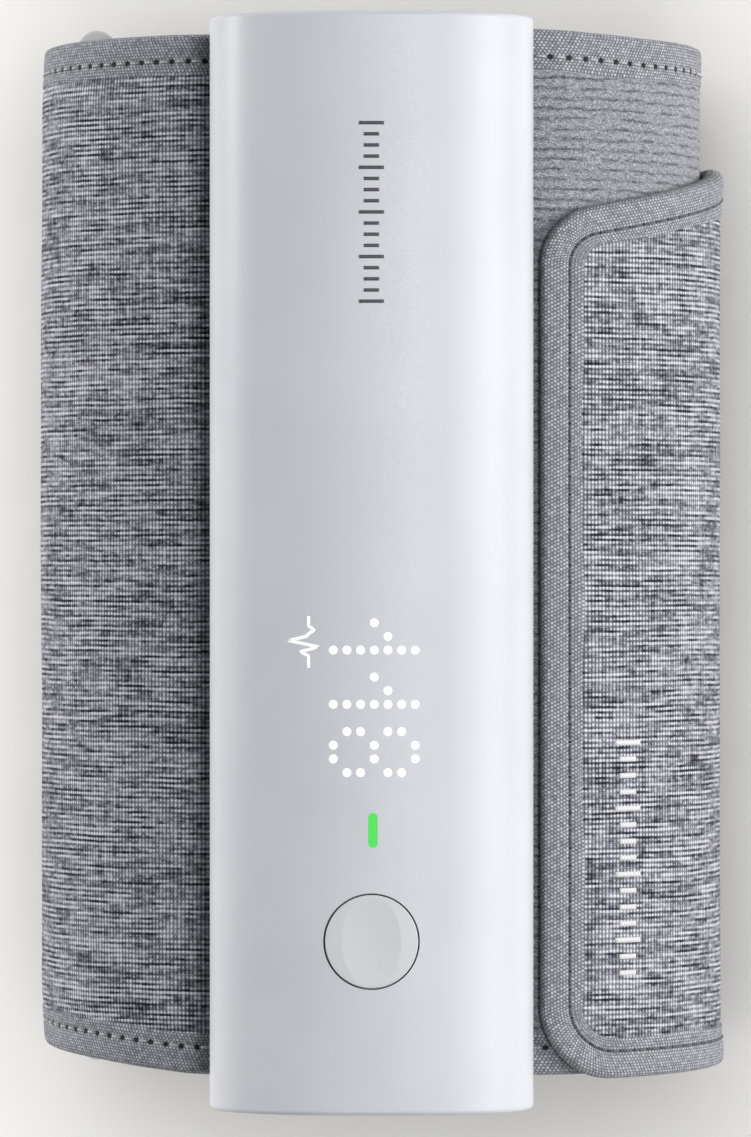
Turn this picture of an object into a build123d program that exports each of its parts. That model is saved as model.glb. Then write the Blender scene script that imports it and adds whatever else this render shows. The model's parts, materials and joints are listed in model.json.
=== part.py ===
from build123d import *

import math
import os

os.makedirs("parts", exist_ok=True)

# Upper arm blood pressure monitor, lying on the flattened back of its cuff.
# Frame: +Z out of the tube's front, +Y along the tube towards its top end, +X to the flap's side.
# The origin is on the surface that the cuff rests on, below the middle of the tube. Millimetres.

# ---------------------------------------------------------------- driving dimensions
TUBE_LENGTH = 158.0
TUBE_WIDTH = 47.0
TUBE_HEIGHT = 30.5
TUBE_WALL = 2.0
TUBE_TOP_Z = 95.0
OVAL_POWER = 2.5  # 2 is an ellipse, more is squarer
TUBE_EDGE_R = 0.6

CUFF_LENGTH = 153.6  # along Y
CUFF_Y = 1.3  # the cuff sits this much nearer the tube's top end
CUFF_HALF_WIDTH = 50.0
PANEL_OUTER_T, STIFFENER_T, BLADDER_T, LINING_T = 1.3, 1.3, 1.2, 1.2
STRAP_FACE_T = 1.3  # the fabric face and the fleece face of the strap are this thick each
LAYER_GAP = 0.3
BINDING_W = 1.2
SEAM_X = 17.5  # where the panel ends and the strap starts, beside the tube's foot

WIRE_R = 1.85
RING_LENGTH = 158.8
RING_UPPER_BAR = (-44.2, 27.5)  # x, z
RING_LOWER_BAR = (-40.2, 16.6)
RING_CORNER_R = 5.6
RING_Y = 2.8  # the ring has slid this far towards the tube's top end
HEM_CLEARANCE, FOLD_CLEARANCE = 0.3, 0.9
HEM_T = 1.2
STRAP_END_HALF = 71.5  # half the strap's width where it passes the ring

FLAP_TIP_X = 24.7
FLAP_HINGE_Z = 34.0
FLAP_HINGE_GAP = 0.3
FLAP_TOP_Y = (50.2, 59.0)  # the flap's sloping upper edge, at its tip and at the side

BUTTON_Y, BUTTON_HOLE_R, BUTTON_GROOVE = -54.1, 6.9, 0.22
STATUS_X, STATUS_Y, STATUS_W, STATUS_L = 0.2, -38.2, 1.4, 5.0
DOT_PITCH, DOT_ROWS, DOT_COLUMNS = 1.95, 7, 15
DISPLAY_X, DISPLAY_Y = 0.37, -18.28

# ---------------------------------------------------------------- derived dimensions
STRAP_T = 2 * STRAP_FACE_T
PANEL_T = PANEL_OUTER_T + STIFFENER_T + BLADDER_T + LINING_T
BASE_Z = STRAP_T + LAYER_GAP  # the strap's return lies under the cuff
CUFF_TOP_Y = CUFF_Y + CUFF_LENGTH / 2
CUFF_BOTTOM_Y = CUFF_Y - CUFF_LENGTH / 2
TUBE_Z = TUBE_TOP_Z - TUBE_HEIGHT / 2
TUBE_FOOT_Z = TUBE_TOP_Z - TUBE_HEIGHT
CUFF_FOOT_Z = TUBE_FOOT_Z - 1.6  # the saddle fills the step

# The cuff's outer face on the right-hand side, from the tube's foot to the flat back:
# x, z and corner radius of each turn.
SHOULDER = [(12.5, CUFF_FOOT_Z, 20), (25.5, 67.8, 14), (42.5, 58.5, 34), (CUFF_HALF_WIDTH, 43.0, 26)]
LOWER_SIDE = [(CUFF_HALF_WIDTH, 20.0, 30), (37.0, BASE_Z, 22)]
seam_slope = (SHOULDER[1][1] - SHOULDER[0][1]) / (SHOULDER[1][0] - SHOULDER[0][0])
SEAM_POINT = (SEAM_X, SHOULDER[0][1] + (SEAM_X - SHOULDER[0][0]) * seam_slope, 0)

# Unit vectors of the ring's plane, in x and z: up from the lower bar to the upper bar, and towards the arm.
bar_dx = RING_UPPER_BAR[0] - RING_LOWER_BAR[0]
bar_dz = RING_UPPER_BAR[1] - RING_LOWER_BAR[1]
BAR_PITCH = math.hypot(bar_dx, bar_dz)
RING_UP = (bar_dx / BAR_PITCH, bar_dz / BAR_PITCH)
RING_IN = (RING_UP[1], -RING_UP[0])
ring_tilt = RING_UP[0] / RING_UP[1]  # x gained for each millimetre of height


def beside_bar(distance):
    """The point beside the ring's lower bar, at a distance towards the arm."""
    return (RING_LOWER_BAR[0] + distance * RING_IN[0], RING_LOWER_BAR[1] + distance * RING_IN[1])


def shifted(path, distance):
    """A path of (x, z, corner radius) moved to the left of its travel, with its arcs kept concentric."""
    runs = []
    for (x0, z0, _), (x1, z1, _) in zip(path, path[1:]):
        length = math.hypot(x1 - x0, z1 - z0)
        dx, dz = (x1 - x0) / length, (z1 - z0) / length
        runs.append((x0 - dz * distance, z0 + dx * distance, dx, dz))
    moved = [(runs[0][0], runs[0][1], 0)]
    for (xa, za, dxa, dza), (xb, zb, dxb, dzb), corner in zip(runs, runs[1:], path[1:]):
        turn = dxa * dzb - dza * dxb
        along = ((xb - xa) * dzb - (zb - za) * dxb) / turn
        radius = corner[2] - distance * math.copysign(1, turn)
        moved.append((xa + dxa * along, za + dza * along, radius))
    length = math.hypot(path[-1][0] - path[-2][0], path[-1][1] - path[-2][1])
    moved.append((runs[-1][0] + runs[-1][2] * length, runs[-1][1] + runs[-1][3] * length, 0))
    return moved


def band_outline(path, near, far):
    """Inside a BuildLine: the closed outline between two sideways shifts of a path."""
    sides = []
    for distance in (near, far):
        moved = shifted(path, distance)
        points = [(x, z) for x, z, _ in moved]
        sides.append(FilletPolyline(*points, radius=[r for _, _, r in moved[1:-1]]))
    Line(sides[0] @ 0, sides[1] @ 0)
    Line(sides[0] @ 1, sides[1] @ 1)


def oval_outline(margin):
    """Inside a BuildLine: the tube's oval section, made smaller by a margin all round."""
    half_w, half_h = TUBE_WIDTH / 2 - margin, TUBE_HEIGHT / 2 - margin
    points = []
    for i in range(64):
        c, s = math.cos(math.tau * i / 64), math.sin(math.tau * i / 64)
        x = half_w * math.copysign(abs(c) ** (2 / OVAL_POWER), c)
        z = half_h * math.copysign(abs(s) ** (2 / OVAL_POWER), s)
        points.append((x, TUBE_Z + z))
    Spline(*points, periodic=True)


def section(y):
    """The plane of a cross-section at y, drawn in x and z. Extruding from it goes towards -Y."""
    return Plane.XZ.offset(-y)


# ---------------------------------------------------------------- paths of the cloth layers
# The panel's outer face, from the seam under the tube, over the left side, to the hem.
# The arm is on the left of its travel.
NECK = 3.9  # from the upper bar's axis to the panel's end
END_DX, END_DZ = 0.395, 0.918  # x gained and height lost for each millimetre of the panel's last run
end_x = RING_UPPER_BAR[0] - NECK * END_DX - PANEL_T / 2 * END_DZ
end_z = RING_UPPER_BAR[1] + NECK * END_DZ - PANEL_T / 2 * END_DX
turn_z = end_z + (end_x + CUFF_HALF_WIDTH) * END_DZ / END_DX
PANEL_PATH = [SEAM_POINT]
PANEL_PATH += [SHOULDER[0]] + [(-x, z, r) for x, z, r in SHOULDER]
PANEL_PATH += [(-CUFF_HALF_WIDTH, turn_z, 11), (end_x, end_z, 0)]

# The strap's fleece face is always on the left of its travel.
fold_r = WIRE_R + FOLD_CLEARANCE + STRAP_FACE_T
cuff_outside = [SEAM_POINT] + SHOULDER[1:] + LOWER_SIDE + [(-CUFF_HALF_WIDTH, BASE_Z, 0)]
base_mid = shifted(cuff_outside, -STRAP_FACE_T)
in_angle = math.degrees(math.atan2(RING_IN[1], RING_IN[0]))
leg_in, leg_out = beside_bar(fold_r), beside_bar(-fold_r)
base_corner_z = BASE_Z + STRAP_FACE_T
BASE_PATH = base_mid[:-1]
BASE_PATH += [(leg_in[0] + (base_corner_z - leg_in[1]) * ring_tilt, base_corner_z, 14), (*leg_in, 0)]

return_side = shifted(cuff_outside, LAYER_GAP + STRAP_FACE_T)
return_z = STRAP_FACE_T
RETURN_PATH = [(*leg_out, 0), (leg_out[0] + (return_z - leg_out[1]) * ring_tilt, return_z, 18)]
RETURN_PATH += [return_side[5], return_side[4]]
hinge_x = return_side[4][0]
RETURN_PATH += [(hinge_x, FLAP_HINGE_Z - FLAP_HINGE_GAP, 0)]
FLAP_PATH = [(hinge_x, FLAP_HINGE_Z, 0), return_side[3], return_side[2], return_side[1]]
FLAP_RUN_PAST = 12.0  # the path runs on past the flap's tip, where the outline trims it
tip_x, tip_z = return_side[1][0] - FLAP_RUN_PAST, return_side[1][1] - FLAP_RUN_PAST * seam_slope
FLAP_PATH += [(tip_x, tip_z, 0)]

# Outlines seen from above, in x and y, that trim the strap to its tapered width.
strap_low, strap_high = CUFF_Y - STRAP_END_HALF, CUFF_Y + STRAP_END_HALF - 1.3
BASE_TRIM = [(60, CUFF_BOTTOM_Y), (15, CUFF_BOTTOM_Y), (-30, strap_low), (-60, strap_low)]
BASE_TRIM += [(-60, strap_high), (-30, strap_high), (15, CUFF_TOP_Y), (60, CUFF_TOP_Y)]
RETURN_TRIM = BASE_TRIM[:6] + [(54, FLAP_TOP_Y[1]), (60, FLAP_TOP_Y[1])]
FLAP_TRIM = [(FLAP_TIP_X, CUFF_BOTTOM_Y), (60, CUFF_BOTTOM_Y), (60, FLAP_TOP_Y[1] + 1.8)]
FLAP_TRIM += [(FLAP_TIP_X, FLAP_TOP_Y[0])]


def cloth(path, near, far, low=CUFF_BOTTOM_Y, high=CUFF_TOP_Y, mode=Mode.ADD):
    """Inside a BuildPart: a layer that follows a path, between two sideways shifts of it and two ends in y."""
    with BuildSketch(section(high)) as profile:
        with BuildLine():
            band_outline(path, near, far)
        make_face()
    extrude(profile.sketch, amount=high - low, mode=mode)


def trimmed(outline, inset=0.0, corners=(0, 0), mode=Mode.INTERSECT):
    """Inside a BuildPart: keeps what lies inside an outline seen from above, or cuts it away."""
    with BuildSketch(Plane.XY.offset(-5)) as plan:
        with BuildLine():
            Polyline(*outline, close=True)
        make_face()
        if corners[0]:
            tips = plan.vertices().group_by(Axis.X)[0].sort_by(Axis.Y)
            fillet(tips[0], radius=corners[0])
            fillet(plan.vertices().group_by(Axis.X)[0].sort_by(Axis.Y)[-1], radius=corners[1])
        if inset:
            offset(amount=-inset)
    extrude(plan.sketch, amount=100, mode=mode)


def save(part, name):
    """Labels a finished piece and writes it."""
    part.label = name
    export_step(part, f"parts/{name}.step")


# ---------------------------------------------------------------- fastening places along the tube
SCREW_YS = (-62.0, -24.0, 24.0, 62.0)  # on the tube's centre line
SCREW_R, SCREW_HOLE_R, SCREW_HEAD_R = 1.25, 1.45, 2.3
NOZZLE_Y, NOZZLE_R, NOZZLE_BORE_R = 8.0, 2.5, 1.2


def foot_holes(through_r, depth_z, height):
    """Inside a BuildPart: the screw holes and the nozzle hole, through everything from one height up."""
    with BuildSketch(Plane.XY.offset(depth_z)) as holes:
        with Locations(*[(0, y) for y in SCREW_YS]):
            Circle(through_r)
        with Locations((0, NOZZLE_Y)):
            Circle(NOZZLE_R)
    extrude(holes.sketch, amount=height, mode=Mode.SUBTRACT)


# ---------------------------------------------------------------- tube
with BuildPart() as tube_shell:
    with BuildSketch(section(TUBE_LENGTH / 2)):
        with BuildLine():
            oval_outline(0)
        make_face()
    extrude(amount=TUBE_LENGTH)
    ends = tube_shell.faces().filter_by(Axis.Y)
    fillet(ends.edges(), radius=TUBE_EDGE_R)
    with BuildSketch(section(TUBE_LENGTH / 2)):
        with BuildLine():
            oval_outline(TUBE_WALL)
        make_face()
    extrude(amount=TUBE_LENGTH, mode=Mode.SUBTRACT)
    foot_holes(SCREW_HOLE_R, TUBE_FOOT_Z - 1, TUBE_WALL + 3)
    with BuildSketch(Plane.XY.offset(TUBE_Z)):
        with Locations((0, BUTTON_Y)):
            Circle(BUTTON_HOLE_R)
        with Locations((STATUS_X, STATUS_Y)):
            SlotOverall(STATUS_L, STATUS_W, rotation=90)
    extrude(amount=TUBE_HEIGHT, mode=Mode.SUBTRACT)
    # a pocket thins the wall over the display, so that the dots shine through it
    with BuildSketch(Plane.XY.offset(TUBE_Z)):
        with Locations((DISPLAY_X, DISPLAY_Y)):
            Rectangle(DOT_ROWS * DOT_PITCH + 2.0, DOT_COLUMNS * DOT_PITCH + 2.0)
    extrude(amount=TUBE_TOP_Z - 1.1 - TUBE_Z, mode=Mode.SUBTRACT)
save(tube_shell.part, "tube_shell")

CAP_INSET, CAP_T, SPIGOT_L, SPIGOT_WALL, CAP_FIT = 0.3, 2.0, 5.0, 1.3, 0.05
SOCKET_Z, SOCKET_W, SOCKET_H, SOCKET_L = 84.6, 8.9, 3.2, 7.4
SOCKET_MARGIN = 0.2


def cap(name, end):
    """An inset end cap with its spigot. end is 1 at the tube's top end and -1 at its bottom end."""
    outside = end * (TUBE_LENGTH / 2 - CAP_INSET)
    with BuildPart() as end_cap:
        for margin, skip, mode in ((0, 0, Mode.ADD), (SPIGOT_WALL, CAP_T, Mode.SUBTRACT)):
            start, depth = outside - end * skip, CAP_T + SPIGOT_L - skip
            with BuildSketch(section(start)):
                with BuildLine():
                    oval_outline(TUBE_WALL + CAP_FIT + margin)
                make_face()
            extrude(amount=end * depth, mode=mode)
        if end < 0:
            with BuildSketch(section(outside - 1)):
                with Locations((0, SOCKET_Z)):
                    RectangleRounded(SOCKET_W + 2 * SOCKET_MARGIN, SOCKET_H + 2 * SOCKET_MARGIN, 1.4)
            extrude(amount=-CAP_T - 2, mode=Mode.SUBTRACT)
    save(end_cap.part, name)


cap("end_cap_top", 1)
cap("end_cap_bottom", -1)

# ---------------------------------------------------------------- button
BUTTON_R = BUTTON_HOLE_R - BUTTON_GROOVE
FLANGE_R, FLANGE_TOP_Z, FLANGE_T = 8.2, 92.2, 1.0
PCB_TOP_Z, PCB_T = 87.4, 1.2
SWITCH_H, SWITCH_PLUNGER_R, SWITCH_STANDS = 2.6, 1.5, 0.6
switch_top = PCB_TOP_Z + SWITCH_H

with BuildPart() as button_cap:
    with BuildSketch(section(BUTTON_Y + 10)):
        with BuildLine():
            oval_outline(0.04)
        make_face()
    extrude(amount=20)
    with BuildSketch(Plane.XY.offset(FLANGE_TOP_Z)):
        with Locations((0, BUTTON_Y)):
            Circle(BUTTON_R)
    extrude(amount=10, mode=Mode.INTERSECT)
    fillet(button_cap.edges().group_by(Axis.Z)[-1], radius=0.12)
    # the face is dished for the fingertip
    with Locations((0, BUTTON_Y, TUBE_TOP_Z + 118.8)):
        Sphere(119.0, mode=Mode.SUBTRACT)
    with BuildSketch(Plane.XY.offset(FLANGE_TOP_Z - FLANGE_T)):
        with Locations((0, BUTTON_Y)):
            Circle(FLANGE_R)
    extrude(amount=FLANGE_T)
    with BuildSketch(Plane.XY.offset(switch_top + SWITCH_STANDS)):
        with Locations((0, BUTTON_Y)):
            Circle(2.0)
    extrude(amount=FLANGE_TOP_Z - FLANGE_T - switch_top - SWITCH_STANDS)
save(button_cap.part, "button_cap")

with BuildPart() as tact_switch:
    with BuildSketch(Plane.XY.offset(PCB_TOP_Z)):
        with Locations((0, BUTTON_Y)):
            Rectangle(6.0, 6.0)
    extrude(amount=SWITCH_H)
    with BuildSketch(Plane.XY.offset(switch_top)):
        with Locations((0, BUTTON_Y)):
            Circle(SWITCH_PLUNGER_R + 0.08)
    extrude(amount=-1.6, mode=Mode.SUBTRACT)
save(tact_switch.part, "tact_switch")

with BuildPart() as switch_plunger:
    with BuildSketch(Plane.XY.offset(switch_top - 0.9)):
        with Locations((0, BUTTON_Y)):
            Circle(SWITCH_PLUNGER_R)
    extrude(amount=0.9 + SWITCH_STANDS)
save(switch_plunger.part, "switch_plunger")

# ---------------------------------------------------------------- display and status light
LED_BOARD_T, LED_SIZE, LED_H = 1.0, 0.9, 0.5
GUIDE_Z, GUIDE_TOP_Z = 89.2, TUBE_TOP_Z - 1.2
GUIDE_W, GUIDE_L = DOT_ROWS * DOT_PITCH + 1.6, DOT_COLUMNS * DOT_PITCH + 1.6

with BuildPart() as led_matrix:
    with BuildSketch(Plane.XY.offset(PCB_TOP_Z)):
        with Locations((DISPLAY_X, DISPLAY_Y)):
            Rectangle(GUIDE_W, GUIDE_L)
    extrude(amount=LED_BOARD_T)
    with BuildSketch(Plane.XY.offset(PCB_TOP_Z + LED_BOARD_T)):
        with Locations((DISPLAY_X, DISPLAY_Y)):
            with GridLocations(DOT_PITCH, DOT_PITCH, DOT_ROWS, DOT_COLUMNS):
                Rectangle(LED_SIZE, LED_SIZE)
    extrude(amount=LED_H)
save(led_matrix.part, "led_matrix")

with BuildPart() as display_light_guide:
    with BuildSketch(Plane.XY.offset(GUIDE_Z)):
        with Locations((DISPLAY_X, DISPLAY_Y)):
            Rectangle(GUIDE_W, GUIDE_L)
            with GridLocations(DOT_PITCH, DOT_PITCH, DOT_ROWS, DOT_COLUMNS):
                Rectangle(1.3, 1.3, mode=Mode.SUBTRACT)
    extrude(amount=GUIDE_TOP_Z - GUIDE_Z)
    # two feet carry the grid on the board, at the ends of the matrix
    with BuildSketch(Plane.XY.offset(PCB_TOP_Z)):
        with Locations((DISPLAY_X, DISPLAY_Y)):
            with GridLocations(0, GUIDE_L + 1.2, 1, 2):
                Rectangle(GUIDE_W, 1.0)
    extrude(amount=GUIDE_Z + 1.0 - PCB_TOP_Z)
    with BuildSketch(Plane.XY.offset(GUIDE_Z)):
        with Locations((DISPLAY_X, DISPLAY_Y)):
            Rectangle(GUIDE_W, GUIDE_L + 2.2)
            Rectangle(GUIDE_W - 0.6, GUIDE_L - 0.6, mode=Mode.SUBTRACT)
    extrude(amount=1.0)
save(display_light_guide.part, "display_light_guide")

with BuildPart() as status_light_pipe:
    with BuildSketch(section(STATUS_Y + 5)):
        with BuildLine():
            oval_outline(0)
        make_face()
    extrude(amount=10)
    with BuildSketch(Plane.XY.offset(PCB_TOP_Z + 0.9)):
        with Locations((STATUS_X, STATUS_Y)):
            SlotOverall(STATUS_L, STATUS_W, rotation=90)
    extrude(amount=20, mode=Mode.INTERSECT)
save(status_light_pipe.part, "status_light_pipe")

with BuildPart() as status_led:
    with BuildSketch(Plane.XY.offset(PCB_TOP_Z)):
        with Locations((STATUS_X, STATUS_Y)):
            Rectangle(1.6, 3.2)
    extrude(amount=0.9)
save(status_led.part, "status_led")

# ---------------------------------------------------------------- chassis and board
FLOOR_Z, FLOOR_T, FLOOR_HALF_W, FLOOR_HALF_L = 69.0, 2.0, 14.0, 71.5
BOSS_R, BOSS_FOOT_Z = 3.6, TUBE_FOOT_Z + TUBE_WALL + 0.12
floor_top = FLOOR_Z + FLOOR_T
PCB_LOW_Y, PCB_HIGH_Y, PCB_W = -71.5, 5.0, 31.0
POST_X, POST_YS, POST_R, POST_HOLE_R = 13.0, (-68.0, 2.0), 2.0, 0.8
BATTERY_W, BATTERY_L, BATTERY_H, BATTERY_Y = 20.0, 46.0, 8.5, -41.0
FOAM_T = 1.0
MOTOR_R, MOTOR_Z, MOTOR_LOW_Y, MOTOR_HIGH_Y = 9.0, 80.5, 22.0, 46.0
CRADLE_YS = (27.0, 41.0)
post_top = PCB_TOP_Z - PCB_T

with BuildPart() as chassis:
    with BuildSketch(Plane.XY.offset(FLOOR_Z)):
        RectangleRounded(2 * FLOOR_HALF_W, 2 * FLOOR_HALF_L, 2.0)
    extrude(amount=FLOOR_T)
    with BuildSketch(Plane.XY.offset(BOSS_FOOT_Z)):
        with Locations(*[(0, y) for y in SCREW_YS], (0, NOZZLE_Y)):
            Circle(BOSS_R)
    extrude(amount=FLOOR_Z - BOSS_FOOT_Z)
    with BuildSketch(Plane.XY.offset(floor_top)):
        with Locations((0, BATTERY_Y)):
            Rectangle(BATTERY_W + 3.0, BATTERY_L + 3.0)
            Rectangle(BATTERY_W + 0.6, BATTERY_L + 0.6, mode=Mode.SUBTRACT)
    extrude(amount=5.0)
    with BuildSketch(Plane.XY.offset(floor_top)):
        with Locations(*[(x, y) for x in (-POST_X, POST_X) for y in POST_YS]):
            Circle(POST_R)
    extrude(amount=post_top - floor_top)
    with BuildSketch(Plane.XY.offset(floor_top)):
        with Locations(*[(0, y) for y in CRADLE_YS]):
            Rectangle(24.0, 2.0)
    extrude(amount=MOTOR_Z - floor_top)
    with BuildSketch(section(MOTOR_HIGH_Y)):
        with Locations((0, MOTOR_Z)):
            Circle(MOTOR_R + 0.05)
    extrude(amount=MOTOR_HIGH_Y - MOTOR_LOW_Y, mode=Mode.SUBTRACT)
    with BuildSketch(Plane.XY.offset(BOSS_FOOT_Z)):
        with Locations(*[(0, y) for y in SCREW_YS]):
            Circle(SCREW_R)
    extrude(amount=floor_top - 0.4 - BOSS_FOOT_Z, mode=Mode.SUBTRACT)
    with BuildSketch(Plane.XY.offset(BOSS_FOOT_Z)):
        with Locations((0, NOZZLE_Y)):
            Circle(NOZZLE_R)
    extrude(amount=10, mode=Mode.SUBTRACT)
    with BuildSketch(Plane.XY.offset(post_top)):
        with Locations(*[(x, y) for x in (-POST_X, POST_X) for y in POST_YS]):
            Circle(POST_HOLE_R)
    extrude(amount=-6.0, mode=Mode.SUBTRACT)
save(chassis.part, "chassis")

with BuildPart() as main_board:
    with BuildSketch(Plane.XY.offset(post_top)):
        with Locations((0, (PCB_LOW_Y + PCB_HIGH_Y) / 2)):
            RectangleRounded(PCB_W, PCB_HIGH_Y - PCB_LOW_Y, 1.5)
        with Locations(*[(x, y) for x in (-POST_X, POST_X) for y in POST_YS]):
            Circle(POST_HOLE_R + 0.3, mode=Mode.SUBTRACT)
    extrude(amount=PCB_T)
save(main_board.part, "main_board")

with BuildPart() as board_screws:
    for x in (-POST_X, POST_X):
        for y in POST_YS:
            with BuildSketch(Plane.XY.offset(PCB_TOP_Z)):
                with Locations((x, y)):
                    Circle(1.6)
            extrude(amount=1.2)
            with BuildSketch(Plane.XY.offset(PCB_TOP_Z)):
                with Locations((x, y)):
                    Circle(POST_HOLE_R)
            extrude(amount=-PCB_T - 5.0)
save(board_screws.part, "board_screws")

with BuildPart() as radio_module:
    with BuildSketch(Plane.XY.offset(post_top)):
        with Locations((0, -34.0)):
            RectangleRounded(12.0, 15.0, 0.8)
    extrude(amount=-1.8)
save(radio_module.part, "radio_module")

with BuildPart() as charging_socket:
    socket_back = PCB_LOW_Y + 0.6
    with BuildSketch(section(socket_back)):
        with Locations((0, SOCKET_Z)):
            RectangleRounded(SOCKET_W, SOCKET_H, 1.2)
            RectangleRounded(SOCKET_W - 0.7, SOCKET_H - 0.7, 0.9, mode=Mode.SUBTRACT)
            Rectangle(SOCKET_W - 2.4, 0.7)
    extrude(amount=SOCKET_L)
    with BuildSketch(section(socket_back)):
        with Locations((0, SOCKET_Z)):
            RectangleRounded(SOCKET_W, SOCKET_H, 1.2)
    extrude(amount=1.0)
save(charging_socket.part, "charging_socket")

with BuildPart() as battery:
    with BuildSketch(Plane.XY.offset(floor_top + FOAM_T)):
        with Locations((0, BATTERY_Y)):
            RectangleRounded(BATTERY_W, BATTERY_L, 1.5)
    extrude(amount=BATTERY_H)
    fillet(battery.faces().group_by(Axis.Z)[-1].edges(), radius=1.0)
save(battery.part, "battery")

with BuildPart() as battery_foam:
    with BuildSketch(Plane.XY.offset(floor_top)):
        with Locations((0, BATTERY_Y)):
            Rectangle(BATTERY_W - 2.0, BATTERY_L - 4.0)
    extrude(amount=FOAM_T)
save(battery_foam.part, "battery_foam")

# ---------------------------------------------------------------- pump
SHAFT_R, SHAFT_FIT = 1.0, 0.05
HEAD_LOW_Y, HEAD_HIGH_Y, HEAD_HALF_W = MOTOR_HIGH_Y, 62.0, 10.5
CRANK_ROOM_R, CRANK_R, CRANK_OFFSET = 6.6, 4.2, 1.2

with BuildPart() as pump_motor:
    with BuildSketch(section(MOTOR_HIGH_Y)):
        with Locations((0, MOTOR_Z)):
            Circle(MOTOR_R)
    extrude(amount=MOTOR_HIGH_Y - MOTOR_LOW_Y)
    fillet(pump_motor.edges().group_by(Axis.Y)[0], radius=0.8)
    with BuildSketch(section(MOTOR_HIGH_Y)):
        with Locations((0, MOTOR_Z)):
            Circle(SHAFT_R + SHAFT_FIT)
    extrude(amount=MOTOR_HIGH_Y - MOTOR_LOW_Y - 2.0, mode=Mode.SUBTRACT)
save(pump_motor.part, "pump_motor")

with BuildPart() as pump_head:
    with BuildSketch(section(HEAD_HIGH_Y)):
        with Locations((0, MOTOR_Z)):
            RectangleRounded(2 * HEAD_HALF_W, 2 * MOTOR_R, 3.0)
    extrude(amount=HEAD_HIGH_Y - HEAD_LOW_Y)
    with BuildSketch(section(HEAD_HIGH_Y - 5.0)):
        with Locations((0, MOTOR_Z)):
            Circle(CRANK_ROOM_R)
    extrude(amount=HEAD_HIGH_Y - 5.0 - HEAD_LOW_Y - 1.5, mode=Mode.SUBTRACT)
    with BuildSketch(section(HEAD_LOW_Y + 2.0)):
        with Locations((0, MOTOR_Z)):
            Circle(SHAFT_R + SHAFT_FIT)
    extrude(amount=3.0, mode=Mode.SUBTRACT)
save(pump_head.part, "pump_head")

with BuildPart() as pump_shaft:
    with BuildSketch(section(HEAD_HIGH_Y - 7.0)):
        with Locations((0, MOTOR_Z)):
            Circle(SHAFT_R)
    extrude(amount=HEAD_HIGH_Y - 7.0 - MOTOR_LOW_Y - 2.5)
    with BuildSketch(section(HEAD_HIGH_Y - 8.0)):
        with Locations((CRANK_OFFSET, MOTOR_Z)):
            Circle(CRANK_R)
    extrude(amount=4.0)
save(pump_shaft.part, "pump_shaft")

# ---------------------------------------------------------------- air path and valve
AIR_Z, HOSE_R, HOSE_X, HOSE_BEND = 76.0, 1.9, 15.0, 2.2
MANIFOLD_HALF_W, MANIFOLD_LOW_Y, MANIFOLD_HIGH_Y, MANIFOLD_H = 7.0, -2.0, 17.0, 8.0
VALVE_X, VALVE_R, VALVE_L = 2.0, 4.6, 11.0
PLUNGER_R, PLUNGER_L, VALVE_TRAVEL, SPRING_L = 1.6, 6.0, 0.6, 2.6
hose_pump_y, hose_manifold_y = 54.0, 12.0

with BuildPart() as air_manifold:
    with BuildSketch(Plane.XY.offset(floor_top)):
        with Locations((0, (MANIFOLD_LOW_Y + MANIFOLD_HIGH_Y) / 2)):
            Rectangle(2 * MANIFOLD_HALF_W, MANIFOLD_HIGH_Y - MANIFOLD_LOW_Y)
    extrude(amount=MANIFOLD_H)
    with BuildSketch(Plane.XY.offset(floor_top)):
        with Locations((0, NOZZLE_Y)):
            Circle(NOZZLE_R)
    extrude(amount=3.0, mode=Mode.SUBTRACT)
    with BuildSketch(Plane.XY.offset(floor_top)):
        with Locations((0, NOZZLE_Y)):
            Circle(NOZZLE_BORE_R)
    extrude(amount=5.0, mode=Mode.SUBTRACT)
    with BuildSketch(Plane.XY.offset(floor_top + MANIFOLD_H)):
        with Locations((0, 1.2)):
            Circle(1.2)
    extrude(amount=-2.0, mode=Mode.SUBTRACT)
save(air_manifold.part, "air_manifold")

with BuildPart() as air_hose:
    hose_route = [(HEAD_HALF_W, hose_pump_y), (HOSE_X, hose_pump_y), (HOSE_X, hose_manifold_y)]
    hose_route += [(MANIFOLD_HALF_W, hose_manifold_y)]
    with BuildLine(Plane.XY.offset(AIR_Z)):
        FilletPolyline(*hose_route, radius=HOSE_BEND)
    with BuildSketch(Plane(origin=(HEAD_HALF_W, hose_pump_y, AIR_Z), x_dir=(0, 1, 0), z_dir=(1, 0, 0))):
        Circle(HOSE_R)
        Circle(HOSE_R - 0.8, mode=Mode.SUBTRACT)
    sweep()
save(air_hose.part, "air_hose")

with BuildPart() as air_nozzle:
    with BuildSketch(Plane.XY.offset(CUFF_FOOT_Z - PANEL_OUTER_T - STIFFENER_T)):
        with Locations((0, NOZZLE_Y)):
            Circle(NOZZLE_R)
            Circle(NOZZLE_BORE_R, mode=Mode.SUBTRACT)
    extrude(amount=floor_top + 3.0 - CUFF_FOOT_Z + PANEL_OUTER_T + STIFFENER_T)
save(air_nozzle.part, "air_nozzle")

with BuildPart() as valve_body:
    with BuildSketch(section(MANIFOLD_LOW_Y)):
        with Locations((VALVE_X, AIR_Z)):
            Circle(VALVE_R)
    extrude(amount=VALVE_L)
    with BuildSketch(section(MANIFOLD_LOW_Y)):
        with Locations((VALVE_X, AIR_Z)):
            Circle(PLUNGER_R + 0.08)
    extrude(amount=VALVE_L - 1.5, mode=Mode.SUBTRACT)
save(valve_body.part, "valve_body")

plunger_front = MANIFOLD_LOW_Y - 0.1
with BuildPart() as valve_plunger:
    with BuildSketch(section(plunger_front)):
        with Locations((VALVE_X, AIR_Z)):
            Circle(PLUNGER_R)
    extrude(amount=PLUNGER_L)
save(valve_plunger.part, "valve_plunger")

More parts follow.
